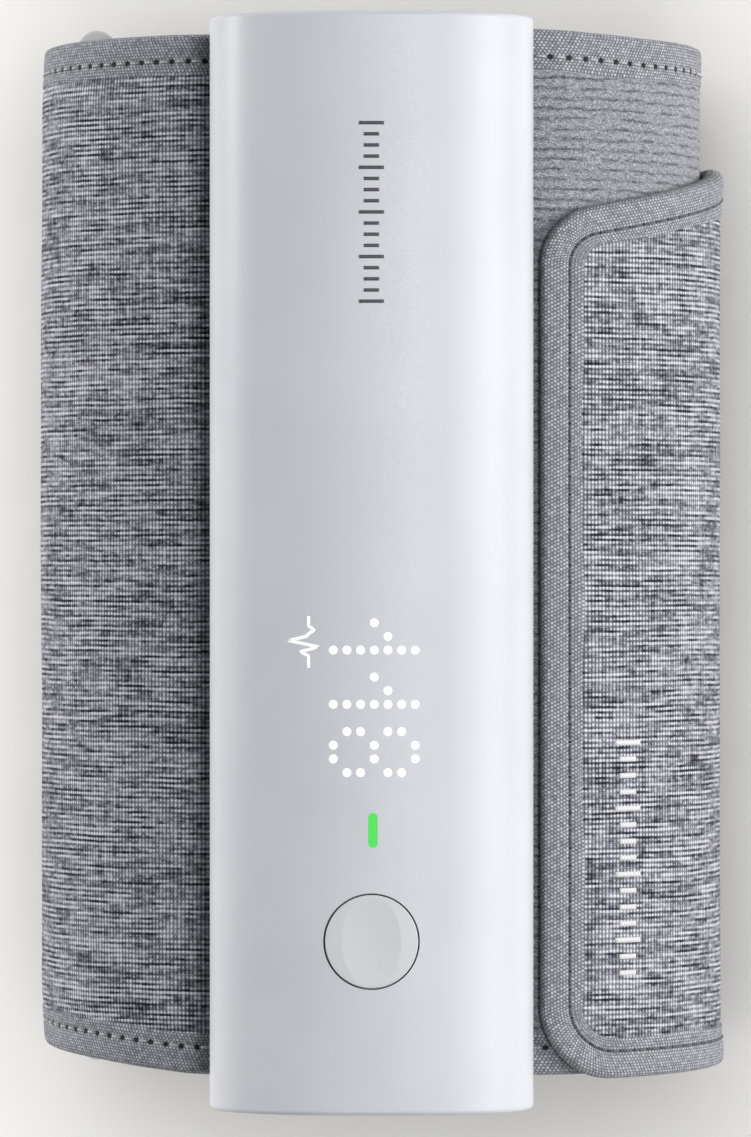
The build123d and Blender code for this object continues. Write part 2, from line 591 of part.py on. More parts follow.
spring_front = plunger_front - PLUNGER_L
spring_back = MANIFOLD_LOW_Y - VALVE_L + 1.5
SPRING_WIRE_R, SPRING_R, SPRING_TURNS = 0.18, 1.2, 4
with BuildPart() as valve_spring:
    spring_length = spring_front - spring_back - 2 * SPRING_WIRE_R - 0.02
    spring_start = (VALVE_X, spring_back + SPRING_WIRE_R + 0.01, AIR_Z)
    with BuildLine():
        spring_pitch = spring_length / SPRING_TURNS
        coil = Helix(spring_pitch, spring_length, SPRING_R, center=spring_start, direction=(0, 1, 0))
    with BuildSketch(Plane(origin=coil @ 0, z_dir=coil % 0)):
        Circle(SPRING_WIRE_R)
    sweep(path=coil, is_frenet=True)
save(valve_spring.part, "valve_spring")

with BuildPart() as pressure_sensor:
    with BuildSketch(Plane.XY.offset(post_top)):
        with Locations((0, 1.2)):
            Rectangle(7.0, 6.0)
    extrude(amount=-3.0)
    with BuildSketch(Plane.XY.offset(post_top - 3.0)):
        with Locations((0, 1.2)):
            Circle(1.2)
    extrude(amount=-(post_top - 3.0 - floor_top - MANIFOLD_H) - 1.6)
save(pressure_sensor.part, "pressure_sensor")

# ---------------------------------------------------------------- saddle and fastening to the cuff
SADDLE_HALF_W, SADDLE_HALF_L = 12.0, 74.0

with BuildPart() as mount_saddle:
    with BuildSketch(Plane.XY.offset(CUFF_FOOT_Z)):
        RectangleRounded(2 * SADDLE_HALF_W, 2 * SADDLE_HALF_L, 3.0)
    extrude(amount=6.0)
    with BuildSketch(section(TUBE_LENGTH / 2)):
        with BuildLine():
            oval_outline(0)
        make_face()
    extrude(amount=TUBE_LENGTH, mode=Mode.SUBTRACT)
    with BuildSketch(section(TUBE_LENGTH / 2)):
        with Locations((0, TUBE_Z)):
            Rectangle(2 * SADDLE_HALF_W + 2, 2 * (TUBE_Z - TUBE_FOOT_Z - 1.6))
    extrude(amount=TUBE_LENGTH, mode=Mode.SUBTRACT)
    cloth(PANEL_PATH, 0, PANEL_T, -TUBE_LENGTH / 2, TUBE_LENGTH / 2, mode=Mode.SUBTRACT)
    foot_holes(SCREW_HOLE_R, CUFF_FOOT_Z - 1, 10)
save(mount_saddle.part, "mount_saddle")

stiffener_foot_z = CUFF_FOOT_Z - PANEL_OUTER_T - STIFFENER_T
with BuildPart() as cuff_screws:
    for y in SCREW_YS:
        with BuildSketch(Plane.XY.offset(stiffener_foot_z)):
            with Locations((0, y)):
                Circle(SCREW_HEAD_R)
        with BuildSketch(Plane.XY.offset(stiffener_foot_z + STIFFENER_T)):
            with Locations((0, y)):
                Circle(SCREW_R)
        loft()
        with BuildSketch(Plane.XY.offset(stiffener_foot_z + STIFFENER_T)):
            with Locations((0, y)):
                Circle(SCREW_R)
        extrude(amount=floor_top - 0.8 - stiffener_foot_z - STIFFENER_T)
save(cuff_screws.part, "cuff_screws")

# ---------------------------------------------------------------- cuff panel
inner_low, inner_high = CUFF_BOTTOM_Y + BINDING_W, CUFF_TOP_Y - BINDING_W
POCKET_MARGIN = 3.0
depth_stiffener = PANEL_OUTER_T
depth_bladder = depth_stiffener + STIFFENER_T
depth_lining = depth_bladder + BLADDER_T
STIFFENER_PATH = [(11.0, CUFF_FOOT_Z, 0)] + PANEL_PATH[2:5]
STIFFENER_PATH += [(-CUFF_HALF_WIDTH, SHOULDER[3][1], SHOULDER[3][2]), (-CUFF_HALF_WIDTH, 36.9, 0)]
BLADDER_PATH = [(8.0, CUFF_FOOT_Z, 0)] + STIFFENER_PATH[1:]

with BuildPart() as panel_outer:
    cloth(PANEL_PATH, 0, PANEL_OUTER_T, inner_low, inner_high)
    foot_holes(SCREW_HOLE_R, stiffener_foot_z, 6)
save(panel_outer.part, "panel_outer")

with BuildPart() as cuff_stiffener:
    pocket_low, pocket_high = inner_low + POCKET_MARGIN, inner_high - POCKET_MARGIN
    cloth(STIFFENER_PATH, depth_stiffener, depth_bladder, pocket_low, pocket_high)
    foot_holes(SCREW_R, stiffener_foot_z - 1, 6)
    for y in SCREW_YS:
        with BuildSketch(Plane.XY.offset(stiffener_foot_z)):
            with Locations((0, y)):
                Circle(SCREW_HEAD_R)
        with BuildSketch(Plane.XY.offset(stiffener_foot_z + STIFFENER_T)):
            with Locations((0, y)):
                Circle(SCREW_R)
        loft(mode=Mode.SUBTRACT)
save(cuff_stiffener.part, "cuff_stiffener")

with BuildPart() as bladder:
    cloth(BLADDER_PATH, depth_bladder, depth_lining, inner_low + 6.0, inner_high - 6.0)
save(bladder.part, "bladder")

with BuildPart() as panel_lining:
    cloth(PANEL_PATH, depth_lining, PANEL_T, inner_low, inner_high)
save(panel_lining.part, "panel_lining")

for name, low, high in (("top", inner_high, CUFF_TOP_Y), ("bottom", CUFF_BOTTOM_Y, inner_low)):
    with BuildPart() as panel_binding:
        cloth(PANEL_PATH, 0, PANEL_T, low, high)
    save(panel_binding.part, f"panel_binding_{name}")

# ---------------------------------------------------------------- ring and its hem
HEM_HALF_L = 70.0
NECK_HALF_T = 1.5  # half the neck's thickness beside the sleeve
hem_r = WIRE_R + HEM_CLEARANCE
neck_dx, neck_dz = NECK_HALF_T * END_DZ, NECK_HALF_T * END_DX

with BuildPart() as ring_hem:
    with BuildSketch(section(CUFF_Y + HEM_HALF_L)):
        with Locations(RING_UPPER_BAR):
            Circle(hem_r + HEM_T)
        # the neck joins the sleeve to the panel's end
        with BuildLine():
            Polyline(
                (end_x, end_z),
                (end_x + PANEL_T * END_DZ, end_z + PANEL_T * END_DX),
                (RING_UPPER_BAR[0] + neck_dx, RING_UPPER_BAR[1] + neck_dz),
                (RING_UPPER_BAR[0] - neck_dx, RING_UPPER_BAR[1] - neck_dz),
                close=True,
            )
        make_face()
        with Locations(RING_UPPER_BAR):
            Circle(hem_r, mode=Mode.SUBTRACT)
    extrude(amount=2 * HEM_HALF_L)
save(ring_hem.part, "ring_hem")

ring_centre = (
    (RING_UPPER_BAR[0] + RING_LOWER_BAR[0]) / 2,
    RING_Y,
    (RING_UPPER_BAR[1] + RING_LOWER_BAR[1]) / 2,
)
with BuildPart() as wire_ring:
    half_l, half_w = RING_LENGTH / 2 - WIRE_R, BAR_PITCH / 2
    with BuildLine(Plane(origin=ring_centre, x_dir=(0, 1, 0), z_dir=(RING_IN[0], 0, RING_IN[1]))):
        corners = [(half_l, half_w), (-half_l, half_w), (-half_l, -half_w), (half_l, -half_w)]
        radii = [0] + [RING_CORNER_R] * len(corners)
        wire_path = FilletPolyline((half_l, 0), *corners, close=True, radius=radii)
    with BuildSketch(Plane(origin=wire_path @ 0, z_dir=wire_path % 0)):
        Circle(WIRE_R)
    sweep(path=wire_path)
save(wire_ring.part, "wire_ring")

# ---------------------------------------------------------------- strap
for name, near, far in (("fabric", -STRAP_FACE_T, 0), ("fleece", 0, STRAP_FACE_T)):
    with BuildPart() as strap_base:
        cloth(BASE_PATH, near, far)
        trimmed(BASE_TRIM, inset=BINDING_W)
    save(strap_base.part, f"strap_base_{name}")

    with BuildPart() as strap_return:
        cloth(RETURN_PATH, near, far)
        # the fold over the ring's lower bar
        with BuildSketch(section(CUFF_TOP_Y)):
            with BuildLine():
                for radius in (fold_r - near, fold_r - far):
                    CenterArc(RING_LOWER_BAR, radius, in_angle, 180)
                for side in (1, -1):
                    Line(
                        beside_bar(side * (fold_r - near)),
                        beside_bar(side * (fold_r - far)),
                    )
            make_face()
        extrude(amount=CUFF_LENGTH)
        trimmed(RETURN_TRIM, inset=BINDING_W)
    save(strap_return.part, f"strap_return_{name}")

with BuildPart() as strap_base_binding:
    cloth(BASE_PATH, -STRAP_FACE_T, STRAP_FACE_T)
    trimmed(BASE_TRIM)
    trimmed(BASE_TRIM, inset=BINDING_W, mode=Mode.SUBTRACT)
save(strap_base_binding.part, "strap_base_binding")

with BuildPart() as strap_return_binding:
    cloth(RETURN_PATH, -STRAP_FACE_T, STRAP_FACE_T)
    trimmed(RETURN_TRIM)
    trimmed(RETURN_TRIM, inset=BINDING_W, mode=Mode.SUBTRACT)
save(strap_return_binding.part, "strap_return_binding")

# ---------------------------------------------------------------- flap
FLAP_CORNERS = (12.0, 9.0)  # at its lower and its upper end
FLAP_FABRIC_T = 1.5
HOOK_INSET = 8.0

with BuildPart() as flap_fabric:
    cloth(FLAP_PATH, -STRAP_FACE_T, FLAP_FABRIC_T - STRAP_FACE_T)
    trimmed(FLAP_TRIM, inset=BINDING_W, corners=FLAP_CORNERS)
save(flap_fabric.part, "flap_fabric")

with BuildPart() as hook_patch:
    cloth(FLAP_PATH, FLAP_FABRIC_T - STRAP_FACE_T, STRAP_FACE_T)
    trimmed([(min(x, 54.5), y) for x, y in FLAP_TRIM], inset=HOOK_INSET, corners=FLAP_CORNERS)
save(hook_patch.part, "hook_patch")

with BuildPart() as flap_binding:
    cloth(FLAP_PATH, -STRAP_FACE_T, STRAP_FACE_T)
    trimmed(FLAP_TRIM, corners=FLAP_CORNERS)
    trimmed(FLAP_TRIM, inset=BINDING_W, corners=FLAP_CORNERS, mode=Mode.SUBTRACT)
save(flap_binding.part, "flap_binding")
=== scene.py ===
import json
import math

import bpy
import numpy as np
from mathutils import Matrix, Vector

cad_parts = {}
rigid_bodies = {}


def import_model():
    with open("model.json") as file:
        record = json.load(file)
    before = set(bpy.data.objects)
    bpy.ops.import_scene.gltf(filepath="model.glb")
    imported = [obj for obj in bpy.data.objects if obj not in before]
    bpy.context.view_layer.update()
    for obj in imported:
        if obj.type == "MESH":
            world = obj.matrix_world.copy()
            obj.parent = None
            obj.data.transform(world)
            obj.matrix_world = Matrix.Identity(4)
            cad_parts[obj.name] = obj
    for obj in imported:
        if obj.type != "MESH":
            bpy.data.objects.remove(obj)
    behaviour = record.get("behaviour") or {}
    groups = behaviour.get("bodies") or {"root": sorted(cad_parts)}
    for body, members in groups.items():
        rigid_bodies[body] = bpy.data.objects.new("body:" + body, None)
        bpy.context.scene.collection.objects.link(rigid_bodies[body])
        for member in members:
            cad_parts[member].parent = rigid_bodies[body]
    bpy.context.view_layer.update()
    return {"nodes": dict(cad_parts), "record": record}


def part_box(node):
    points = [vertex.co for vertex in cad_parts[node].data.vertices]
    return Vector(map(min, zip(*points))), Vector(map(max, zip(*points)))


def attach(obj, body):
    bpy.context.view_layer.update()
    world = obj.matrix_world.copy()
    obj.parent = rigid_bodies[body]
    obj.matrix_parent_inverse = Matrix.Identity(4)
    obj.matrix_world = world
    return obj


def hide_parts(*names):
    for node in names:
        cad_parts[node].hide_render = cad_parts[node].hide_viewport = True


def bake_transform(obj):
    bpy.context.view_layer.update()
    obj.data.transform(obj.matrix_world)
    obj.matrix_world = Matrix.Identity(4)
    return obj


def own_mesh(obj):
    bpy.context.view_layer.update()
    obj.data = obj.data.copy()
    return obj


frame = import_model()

# Upper arm blood pressure monitor, looked at from straight above, as it lies on the flattened back of its
# cuff. A cloth is laid out flat in its own (s, y): s runs along a route in the cross-section and y along the
# tube. h is the height above the route, positive to the left of its travel. Sizes are in millimetres until a
# mesh or a material is made, which are in metres.

MM = 0.001
FLOOR_CLEARANCE = 0.01
BAR_X, BAR_Z = -40.2, 16.6  # the ring's lower bar, which the strap turns round
RING_UP, RING_IN = (-0.345, 0.939), (0.939, 0.345)  # unit directions in the cross-section
FOLD_R = 4.05
STRAP_HALF_T = 1.15  # the tape makes up the rest of the strap's 2.6 mm
PANEL_T = 5.0
FACE_T = 1.1  # the panel's two faces are this thick each
HINGE_Z = 34.0
FLAP_TIP_X = 24.7
CUFF_TOP_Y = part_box("panel_binding_top")[1][1] / MM
CUFF_LOW_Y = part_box("panel_binding_bottom")[0][1] / MM
STITCH_PITCH = 2.6
TAPE_REACH, TAPE_STITCH = 6.0, 4.1  # how far the tape covers the cloth, and where it is sewn
PANEL_INSET, STRAP_INSET = 1.2, 1.0  # the cloth stops this far inside the tape's edge
RIB_PITCH, ROW_PITCH = 0.59, 0.745  # the melange's
TAPE_WEAVE = (0.56, 0.42)
HOOK_PITCH = (0.9, 0.7)
FLEECE_PITCH = 1.49
PRINT_T, FLAP_PRINT_T = 0.03, 0.1

PANEL = [(17.5, 64.78, 0), (12.5, 62.9, 20), (-12.5, 62.9, 20), (-25.5, 67.8, 14), (-42.5, 58.5, 34)]
PANEL += [(-50, 43, 26), (-50, 34.66, 11), (-48.04, 30.09, 0)]
BASE = [(17.96, 63.57, 0), (25.4, 66.37, 12.7), (41.51, 57.56, 32.7), (48.7, 42.7, 24.7)]
BASE += [(48.7, 20.44, 28.7), (36.36, 4.2, 20.7), (-31.34, 4.2, 14), (-36.4, 18.0, 0)]


def beside_bar(inward, upward):
    """A point in the ring's plane, given from its lower bar in fold radii."""
    bar = (BAR_X, BAR_Z)
    return tuple(c + FOLD_R * (inward * a + upward * b) for c, a, b in zip(bar, RING_IN, RING_UP))


STRAP = [(*beside_bar(1, 0), 0), (*beside_bar(1, 1), FOLD_R - 0.01), (*beside_bar(-1, 1), FOLD_R - 0.01)]
STRAP += [(-38.9, 1.3, 18), (37.79, 1.3, 23.6), (51.6, 19.46, 31.6), (51.6, 43.37, 27.6)]
STRAP += [(43.72, 59.66, 35.6), (25.62, 69.56, 15.6), (13.62, 65.03, 0)]


# ---------------------------------------------------------------- lines and routes
def rounded(corners, step=0.35):
    """The points and headings of a line through corners of (a, b, radius), with its corners rounded."""
    points, headings = [corners[0][:2]], []
    corner = [np.array(c[:2], float) for c in corners]
    for before, here, after, (_, _, radius) in zip(corner, corner[1:], corner[2:], corners[1:]):
        first, second = here - before, after - here
        start = math.atan2(first[1], first[0])
        turn = (math.atan2(second[1], second[0]) - start + math.pi) % math.tau - math.pi
        if not headings:
            headings.append(start)
        start = headings[-1] + (start - headings[-1] + math.pi) % math.tau - math.pi
        back = radius * math.tan(abs(turn) / 2)
        entry = here - first / np.linalg.norm(first) * back
        side = math.copysign(radius, turn)
        centre = entry + side * np.array((-math.sin(start), math.cos(start)))
        steps = max(2, math.ceil(radius * abs(turn) / step))
        for i in range(steps + 1):
            angle = start + turn * i / steps
            points.append(tuple(centre + side * np.array((math.sin(angle), -math.cos(angle)))))
            headings.append(angle)
    if not headings:
        first = corner[1] - corner[0]
        headings.append(math.atan2(first[1], first[0]))
    points.append(corners[-1][:2])
    headings.append(headings[-1])
    return np.array(points), np.array(headings)


class Route:
    """A line in the cross-section (x, z) that cloth follows."""

    def __init__(self, corners):
        self.points, self.headings = rounded(corners)
        steps = np.linalg.norm(np.diff(self.points, axis=0), axis=1)
        self.s = np.concatenate(([0], np.cumsum(steps))) + np.arange(len(steps) + 1) * 1e-9
        self.length = float(self.s[-1])

    def place(self, s, y, h):
        """Positions, in metres, of points of the cloth."""
        inside = np.clip(s, 0, self.length)
        beyond = s - inside
        heading = np.interp(inside, self.s, self.headings)
        x = np.interp(inside, self.s, self.points[:, 0]) + beyond * np.cos(heading) - h * np.sin(heading)
        z = np.interp(inside, self.s, self.points[:, 1]) + beyond * np.sin(heading) + h * np.cos(heading)
        return np.stack(np.broadcast_arrays(x, y, np.maximum(z, FLOOR_CLEARANCE)), axis=-1) * MM

    def where(self, axis, value, start=0.0, end=None):
        """The first distance along, after start, at which x (axis 0) or z (axis 1) passes a value."""
        s = np.arange(start, self.length if end is None else end, 0.05)
        level = np.interp(s, self.s, self.points[:, axis]) - value
        return float(s[np.argmax(level[:-1] * level[1:] <= 0)])

    def height(self, s):
        """How high above the floor the route is."""
        return np.interp(s, self.s, self.points[:, 1])


class Edge:
    """An edge of a cloth in its (s, y), walked with the cloth on the left, in even steps."""

    def __init__(self, corners, step=STITCH_PITCH / 4):
        points, headings = rounded(corners)
        far = np.concatenate(([0], np.cumsum(np.linalg.norm(np.diff(points, axis=0), axis=1))))
        self.along = np.linspace(0, far[-1], max(3, round(far[-1] / step)))
        self.points = np.stack([np.interp(self.along, far, points[:, i]) for i in (0, 1)], axis=-1)
        heading = np.interp(self.along, far, headings)
        self.inward = np.stack((-np.sin(heading), np.cos(heading)), axis=-1)

    def inset(self, distance):
        return self.points + self.inward * distance


def smooth(low, high, value):
    t = np.clip((value - low) / (high - low), 0, 1)
    return t * t * (3 - 2 * t)


def ripple(s, y, seed):
    """A gentle uneven swell from 0 to 1, as in handled cloth."""
    a = np.sin(s / 9.1 + seed) * np.sin(y / 16.7 + 1.7 * seed)
    b = np.sin(s / 5.3 + y / 21.0 + 2.3 * seed)
    c = np.sin(y / 6.1 - s / 13.0 + 0.9 * seed)
    return 0.5 + 0.25 * a + 0.15 * b + 0.1 * c


# ---------------------------------------------------------------- meshes
def piece(name, points, faces, weave, material):
    """A mesh object with a weave attribute, which holds each point's place in the flat cloth, in metres."""
    mesh = bpy.data.meshes.new(name)
    mesh.from_pydata(np.asarray(points, float).reshape(-1, 3).tolist(), [], faces)
    weave = np.asarray(weave, np.float32).reshape(-1, 3)
    mesh.attributes.new("weave", "FLOAT_VECTOR", "POINT").data.foreach_set("vector", weave.ravel())
    mesh.shade_smooth()
    mesh.materials.append(material)
    mesh.update()
    made = bpy.data.objects.new(name, mesh)
    bpy.context.collection.objects.link(made)
    return made


def grid_faces(rows, columns, first=0, flip=False):
    """Quads over a grid of points that are counted row by row."""
    faces = []
    for r in range(rows - 1):
        for c in range(columns - 1):
            a = first + r * columns + c
            quad = (a, a + columns, a + columns + 1, a + 1)
            faces.append(quad[::-1] if flip else quad)
    return faces


def tube_faces(rings, sides, first=0):
    """Quads round a closed tube of rings, with both ends closed."""
    faces = []
    for r in range(rings - 1):
        for c in range(sides):
            a, b = first + r * sides + c, first + r * sides + (c + 1) % sides
            faces.append((a, b, b + sides, a + sides))
    faces.append(tuple(first + c for c in reversed(range(sides))))
    faces.append(tuple(first + (rings - 1) * sides + c for c in range(sides)))
    return faces


def layer(name, route, s, low, high, near, far, columns, material):
    """A closed layer of cloth, with a number of columns of points across it. low and high are its edges in y
    for each s, and near and far give the heights of its faces."""
    t = np.linspace(0, 1, columns)
    across = s[:, None] + 0 * t
    y = low[:, None] + (high - low)[:, None] * t
    near, far = (np.broadcast_to(h(across, y), y.shape) for h in (near, far))
    points = np.concatenate([route.place(across, y, h).reshape(-1, 3) for h in (near, far)])
    count = len(s) * columns
    faces = grid_faces(len(s), columns, flip=True) + grid_faces(len(s), columns, first=count)
    rim = list(range(columns))
    rim += [r * columns + columns - 1 for r in range(1, len(s))]
    rim += [(len(s) - 1) * columns + c for c in reversed(range(columns - 1))]
    rim += [r * columns for r in reversed(range(1, len(s) - 1))]
    for a, b in zip(rim, rim[1:] + rim[:1]):
        faces.append((a, a + count, b + count, b))
    weave = np.stack((across, y, 0 * y), axis=-1).reshape(-1, 3) * MM
    return piece(name, points, faces, np.concatenate((weave, weave)), material)


def edge_limits(s, lower, upper):
    """The y of a cloth's lower and upper edge, given as points of rising s, at each s."""
    return np.interp(s, lower[:, 0], lower[:, 1]), np.interp(s, upper[:, 0], upper[:, 1])


def tape_rise(distance, along):
    """How far a tape stands above the cloth, from 0 to 1. It is drawn in at each stitch."""
    pull = 0.5 + 0.5 * np.cos(math.tau * along / STITCH_PITCH)
    body = 0.55 + 0.45 * np.sin(np.pi * np.clip(distance / TAPE_STITCH, 0, 1)) ** 0.7
    return body - (0.28 + 0.2 * pull) * np.exp(-(((distance - TAPE_STITCH) / 0.5) ** 2))


def tape(name, route, edges, near, far, puff, material, seed=1.0):
    """Binding tape folded over cloth edges: one closed mesh, with a tube for each edge.
    puff is how far it stands proud of the cloth's near and far faces."""
    rim_r, half_t = 0.8, 1.3
    flat = TAPE_REACH - np.array([0, 0.15, 0.45, 0.9, 1.35, 1.65, 1.9, 2.15, 2.5, 2.9, 3.4, 4.0, 4.55, 4.95])
    turn = np.radians(np.linspace(-90, 90, 9))
    inner_distance = np.concatenate((flat, rim_r * (1 - np.cos(turn)), flat[::-1]))
    side = np.concatenate((-np.ones(len(flat)), np.sin(turn), np.ones(len(flat))))
    inwards, upwards = np.diff(inner_distance, prepend=TAPE_REACH), np.diff(side * half_t, prepend=-half_t)
    across = np.cumsum(np.hypot(inwards, upwards))
    across = np.concatenate((np.minimum(across, across[-1] - across), (0, 0)))
    points, weave, faces = [], [], []
    for edge in edges:
        along = edge.along[:, None]
        loose = 0.18 * np.sin(along / 7.3 + seed) + 0.12 * np.sin(along / 2.9 + 2 * seed)
        lip = np.clip((inner_distance - 5.1) / 0.9, 0, 1)
        distance = inner_distance + lip * loose
        place = edge.points[:, None, :] + edge.inward[:, None, :] * distance[..., None]
        s, y = place[..., 0], place[..., 1]
        low, high = near(s, y), far(s, y)
        proud = np.interp(side, (-1, 1), puff) * (1 - 0.25 * np.clip((inner_distance - 5.5) / 0.5, 0, 1))
        rise = tape_rise(distance, along) * proud
        h = (low + high) / 2 + side * ((high - low) / 2 + rise)
        under = edge.points[:, None, :] + edge.inward[:, None, :] * np.full((2, 1), TAPE_REACH + 0.1)
        s = np.concatenate((s, under[..., 0]), axis=1)
        y = np.concatenate((y, under[..., 1]), axis=1)
        h = np.concatenate((h, (high - 0.3)[:, -1:], (low + 0.3)[:, :1]), axis=1)
        sides = s.shape[1]
        faces += tube_faces(len(edge.along), sides, first=sum(len(p) for p in points))
        points.append(route.place(s, y, h).reshape(-1, 3))
        mark = np.broadcast_arrays(along, across[None, :], 0.0)
        weave.append(np.stack(mark, axis=-1).reshape(-1, 3) * MM)
    return piece(name, np.concatenate(points), faces, np.concatenate(weave), material)


def stitches(name, route, edges, near, far, puff, material, faces_sewn=(-1, 1)):
    """The sewing thread that shows along a tape, one short length for each stitch."""
    rings, sides, thread_r = 7, 6, 0.2
    t = np.linspace(-1, 1, rings)
    arc = np.arange(sides) / sides * math.tau
    points, faces, weave = [], [], []
    for edge in edges:
        for middle in np.arange(STITCH_PITCH * 0.5, edge.along[-1], STITCH_PITCH):
            along = middle + t * STITCH_PITCH * 0.33
            line = np.stack([np.interp(along, edge.along, edge.points[:, i]) for i in (0, 1)], axis=-1)
            inward = np.stack([np.interp(along, edge.along, edge.inward[:, i]) for i in (0, 1)], axis=-1)
            radius = thread_r * np.sqrt(np.clip(1.08 - t**4, 0, 1))
            for face in faces_sewn:
                distance = TAPE_STITCH + radius[:, None] * np.cos(arc)
                place = line[:, None, :] + inward[:, None, :] * distance[..., None]
                s, y = place[..., 0], place[..., 1]
                low, high = near(s, y), far(s, y)
                proud = puff[0] if face < 0 else puff[1]
                rise = proud * tape_rise(TAPE_STITCH, middle) + 0.15 - 0.4 * t[:, None] ** 4
                lift = rise + radius[:, None] * np.sin(arc)
                h = (low + high) / 2 + face * ((high - low) / 2 + lift)
                faces += tube_faces(rings, sides, first=len(points) * rings * sides)
                points.append(route.place(s, y, h).reshape(-1, 3))
                mark = np.broadcast_arrays(along[:, None], arc[None, :] * thread_r, 0.0)
                weave.append(np.stack(mark, axis=-1).reshape(-1, 3) * MM)
    return piece(name, np.concatenate(points), faces, np.concatenate(weave), material)


def stroke(surface, line, width, thickness=PRINT_T):
    """A thin printed line on a surface: its points and faces. surface(a, b, h) gives positions in metres."""
    line = np.array(line, float)
    heading = np.gradient(line, axis=0)
    heading /= np.linalg.norm(heading, axis=1)[:, None]
    across = np.stack((-heading[:, 1], heading[:, 0]), axis=-1) * width / 2
    rings = []
    for side, h in ((-1, 0), (-1, thickness), (1, thickness), (1, 0)):
        spot = line + side * across
        rings.append(surface(spot[:, 0], spot[:, 1], np.full(len(line), float(h))))
    return np.stack(rings, axis=1).reshape(-1, 3), tube_faces(len(line), 4)


def disc(surface, a, b, radius, sides=20):
    """A thin printed dot on a surface: its points and faces."""
    arc = np.arange(sides) / sides * math.tau
    across, along = a + radius * np.cos(arc), b + radius * np.sin(arc)
    rings = [surface(across, along, 0 * arc + h) for h in (0, PRINT_T)]
    return np.concatenate(rings), tube_faces(2, sides)


def joined(name, parts, material):
    """One piece made of many small ones."""
    points, faces = [], []
    for part_points, part_faces in parts:
        first = sum(len(p) for p in points)
        points.append(part_points)
        faces += [tuple(first + i for i in face) for face in part_faces]
    points = np.concatenate(points)
    return piece(name, points, faces, points, material)


# ---------------------------------------------------------------- materials
def linear(*rgb):
    """A colour as a screen shows it, 0 to 255, in linear light."""
    return tuple(((c / 255 + 0.055) / 1.055) ** 2.4 if c > 10 else c / 3295 for c in rgb) + (1.0,)


class Shader:
    """A material's nodes. A value that is a socket is linked, any other is set."""

    def __init__(self, name, **settings):
        self.material = bpy.data.materials.new(name)
        self.material.use_nodes = True
        self.tree = self.material.node_tree
        self.tree.nodes.clear()
        self.surface = self.add("BsdfPrincipled", **settings)
        output = self.tree.nodes.new("ShaderNodeOutputMaterial")
        self.tree.links.new(self.surface.outputs[0], output.inputs[0])

    def put(self, socket, value):
        if isinstance(value, bpy.types.NodeSocket):
            self.tree.links.new(value, socket)
        else:
            socket.default_value = value

    def add(self, kind, properties=None, **inputs):
        node = self.tree.nodes.new("ShaderNode" + kind)
        for key, value in (properties or {}).items():
            setattr(node, key, value)
        for key, value in inputs.items():
            self.put(node.inputs[key.replace("_", " ")], value)
        return node

    def math(self, operation, *values):
        node = self.add("Math", {"operation": operation})
        for socket, value in zip(node.inputs, values):
            self.put(socket, value)
        return node.outputs[0]

    def squared(self, value):
        return self.math("POWER", value, 2.0)

    def scaled(self, vector, factors):
        node = self.add("VectorMath", {"operation": "MULTIPLY"})
        self.put(node.inputs[0], vector)
        self.put(node.inputs[1], factors)
        return node.outputs[0]

    def cells(self, vector, first, second):
        """A place counted in cells of the given sizes."""
        return self.scaled(vector, (1 / (first * MM), 1 / (second * MM), 0))

    def weave(self):
        return self.add("Attribute", {"attribute_name": "weave"}).outputs["Vector"]

    def place(self):
        return self.add("TexCoord").outputs["Object"]

    def split(self, vector):
        return self.add("SeparateXYZ", Vector=vector).outputs[:2]

    def pair(self, x, y):
        return self.add("CombineXYZ", X=x, Y=y).outputs[0]

    def noise(self, vector, scale, detail=2.0, rough=0.5):
        return self.add("TexNoise", Vector=vector, Scale=scale, Detail=detail, Roughness=rough).outputs[0]

    def chance(self, a, b):
        """A random number for each cell."""
        cell = self.pair(self.math("FLOOR", a), self.math("FLOOR", b))
        return self.add("TexWhiteNoise", {"noise_dimensions": "2D"}, Vector=cell).outputs[0]

    def spread(self, value, low, high, to_low=0.0, to_high=1.0):
        node = self.add("MapRange", {"interpolation_type": "SMOOTHSTEP"}, Value=value)
        for socket, bound in zip(node.inputs[1:5], (low, high, to_low, to_high)):
            self.put(socket, bound)
        return node.outputs[0]

    def mix(self, factor, a, b):
        node = self.add("Mix", {"data_type": "RGBA"})
        for index, value in ((0, factor), (6, a), (7, b)):
            self.put(node.inputs[index], value)
        return node.outputs[2]

    def ramp(self, value, *stops):
        node = self.add("ValToRGB", Fac=value)
        elements = node.color_ramp.elements
        while len(elements) < len(stops):
            elements.new(0.5)
        for element, (position, colour) in zip(elements, stops):
            element.position, element.color = position, colour
        return node.outputs[0]

    def bump(self, height, depth, strength=1.0):
        """Small relief, of a depth in millimetres."""
        node = self.add("Bump", Height=height, Distance=depth * MM, Strength=strength)
        self.put(self.surface.inputs["Normal"], node.outputs[0])

    def finish(self, colour, roughness):
        self.put(self.surface.inputs["Base Color"], colour)
        self.put(self.surface.inputs["Roughness"], roughness)
        return self.material


def wave(sh, value):
    """0 to 1 and back for each whole number."""
    return sh.math("MULTIPLY_ADD", sh.math("COSINE", sh.math("MULTIPLY", value, math.tau)), 0.5, 0.5)


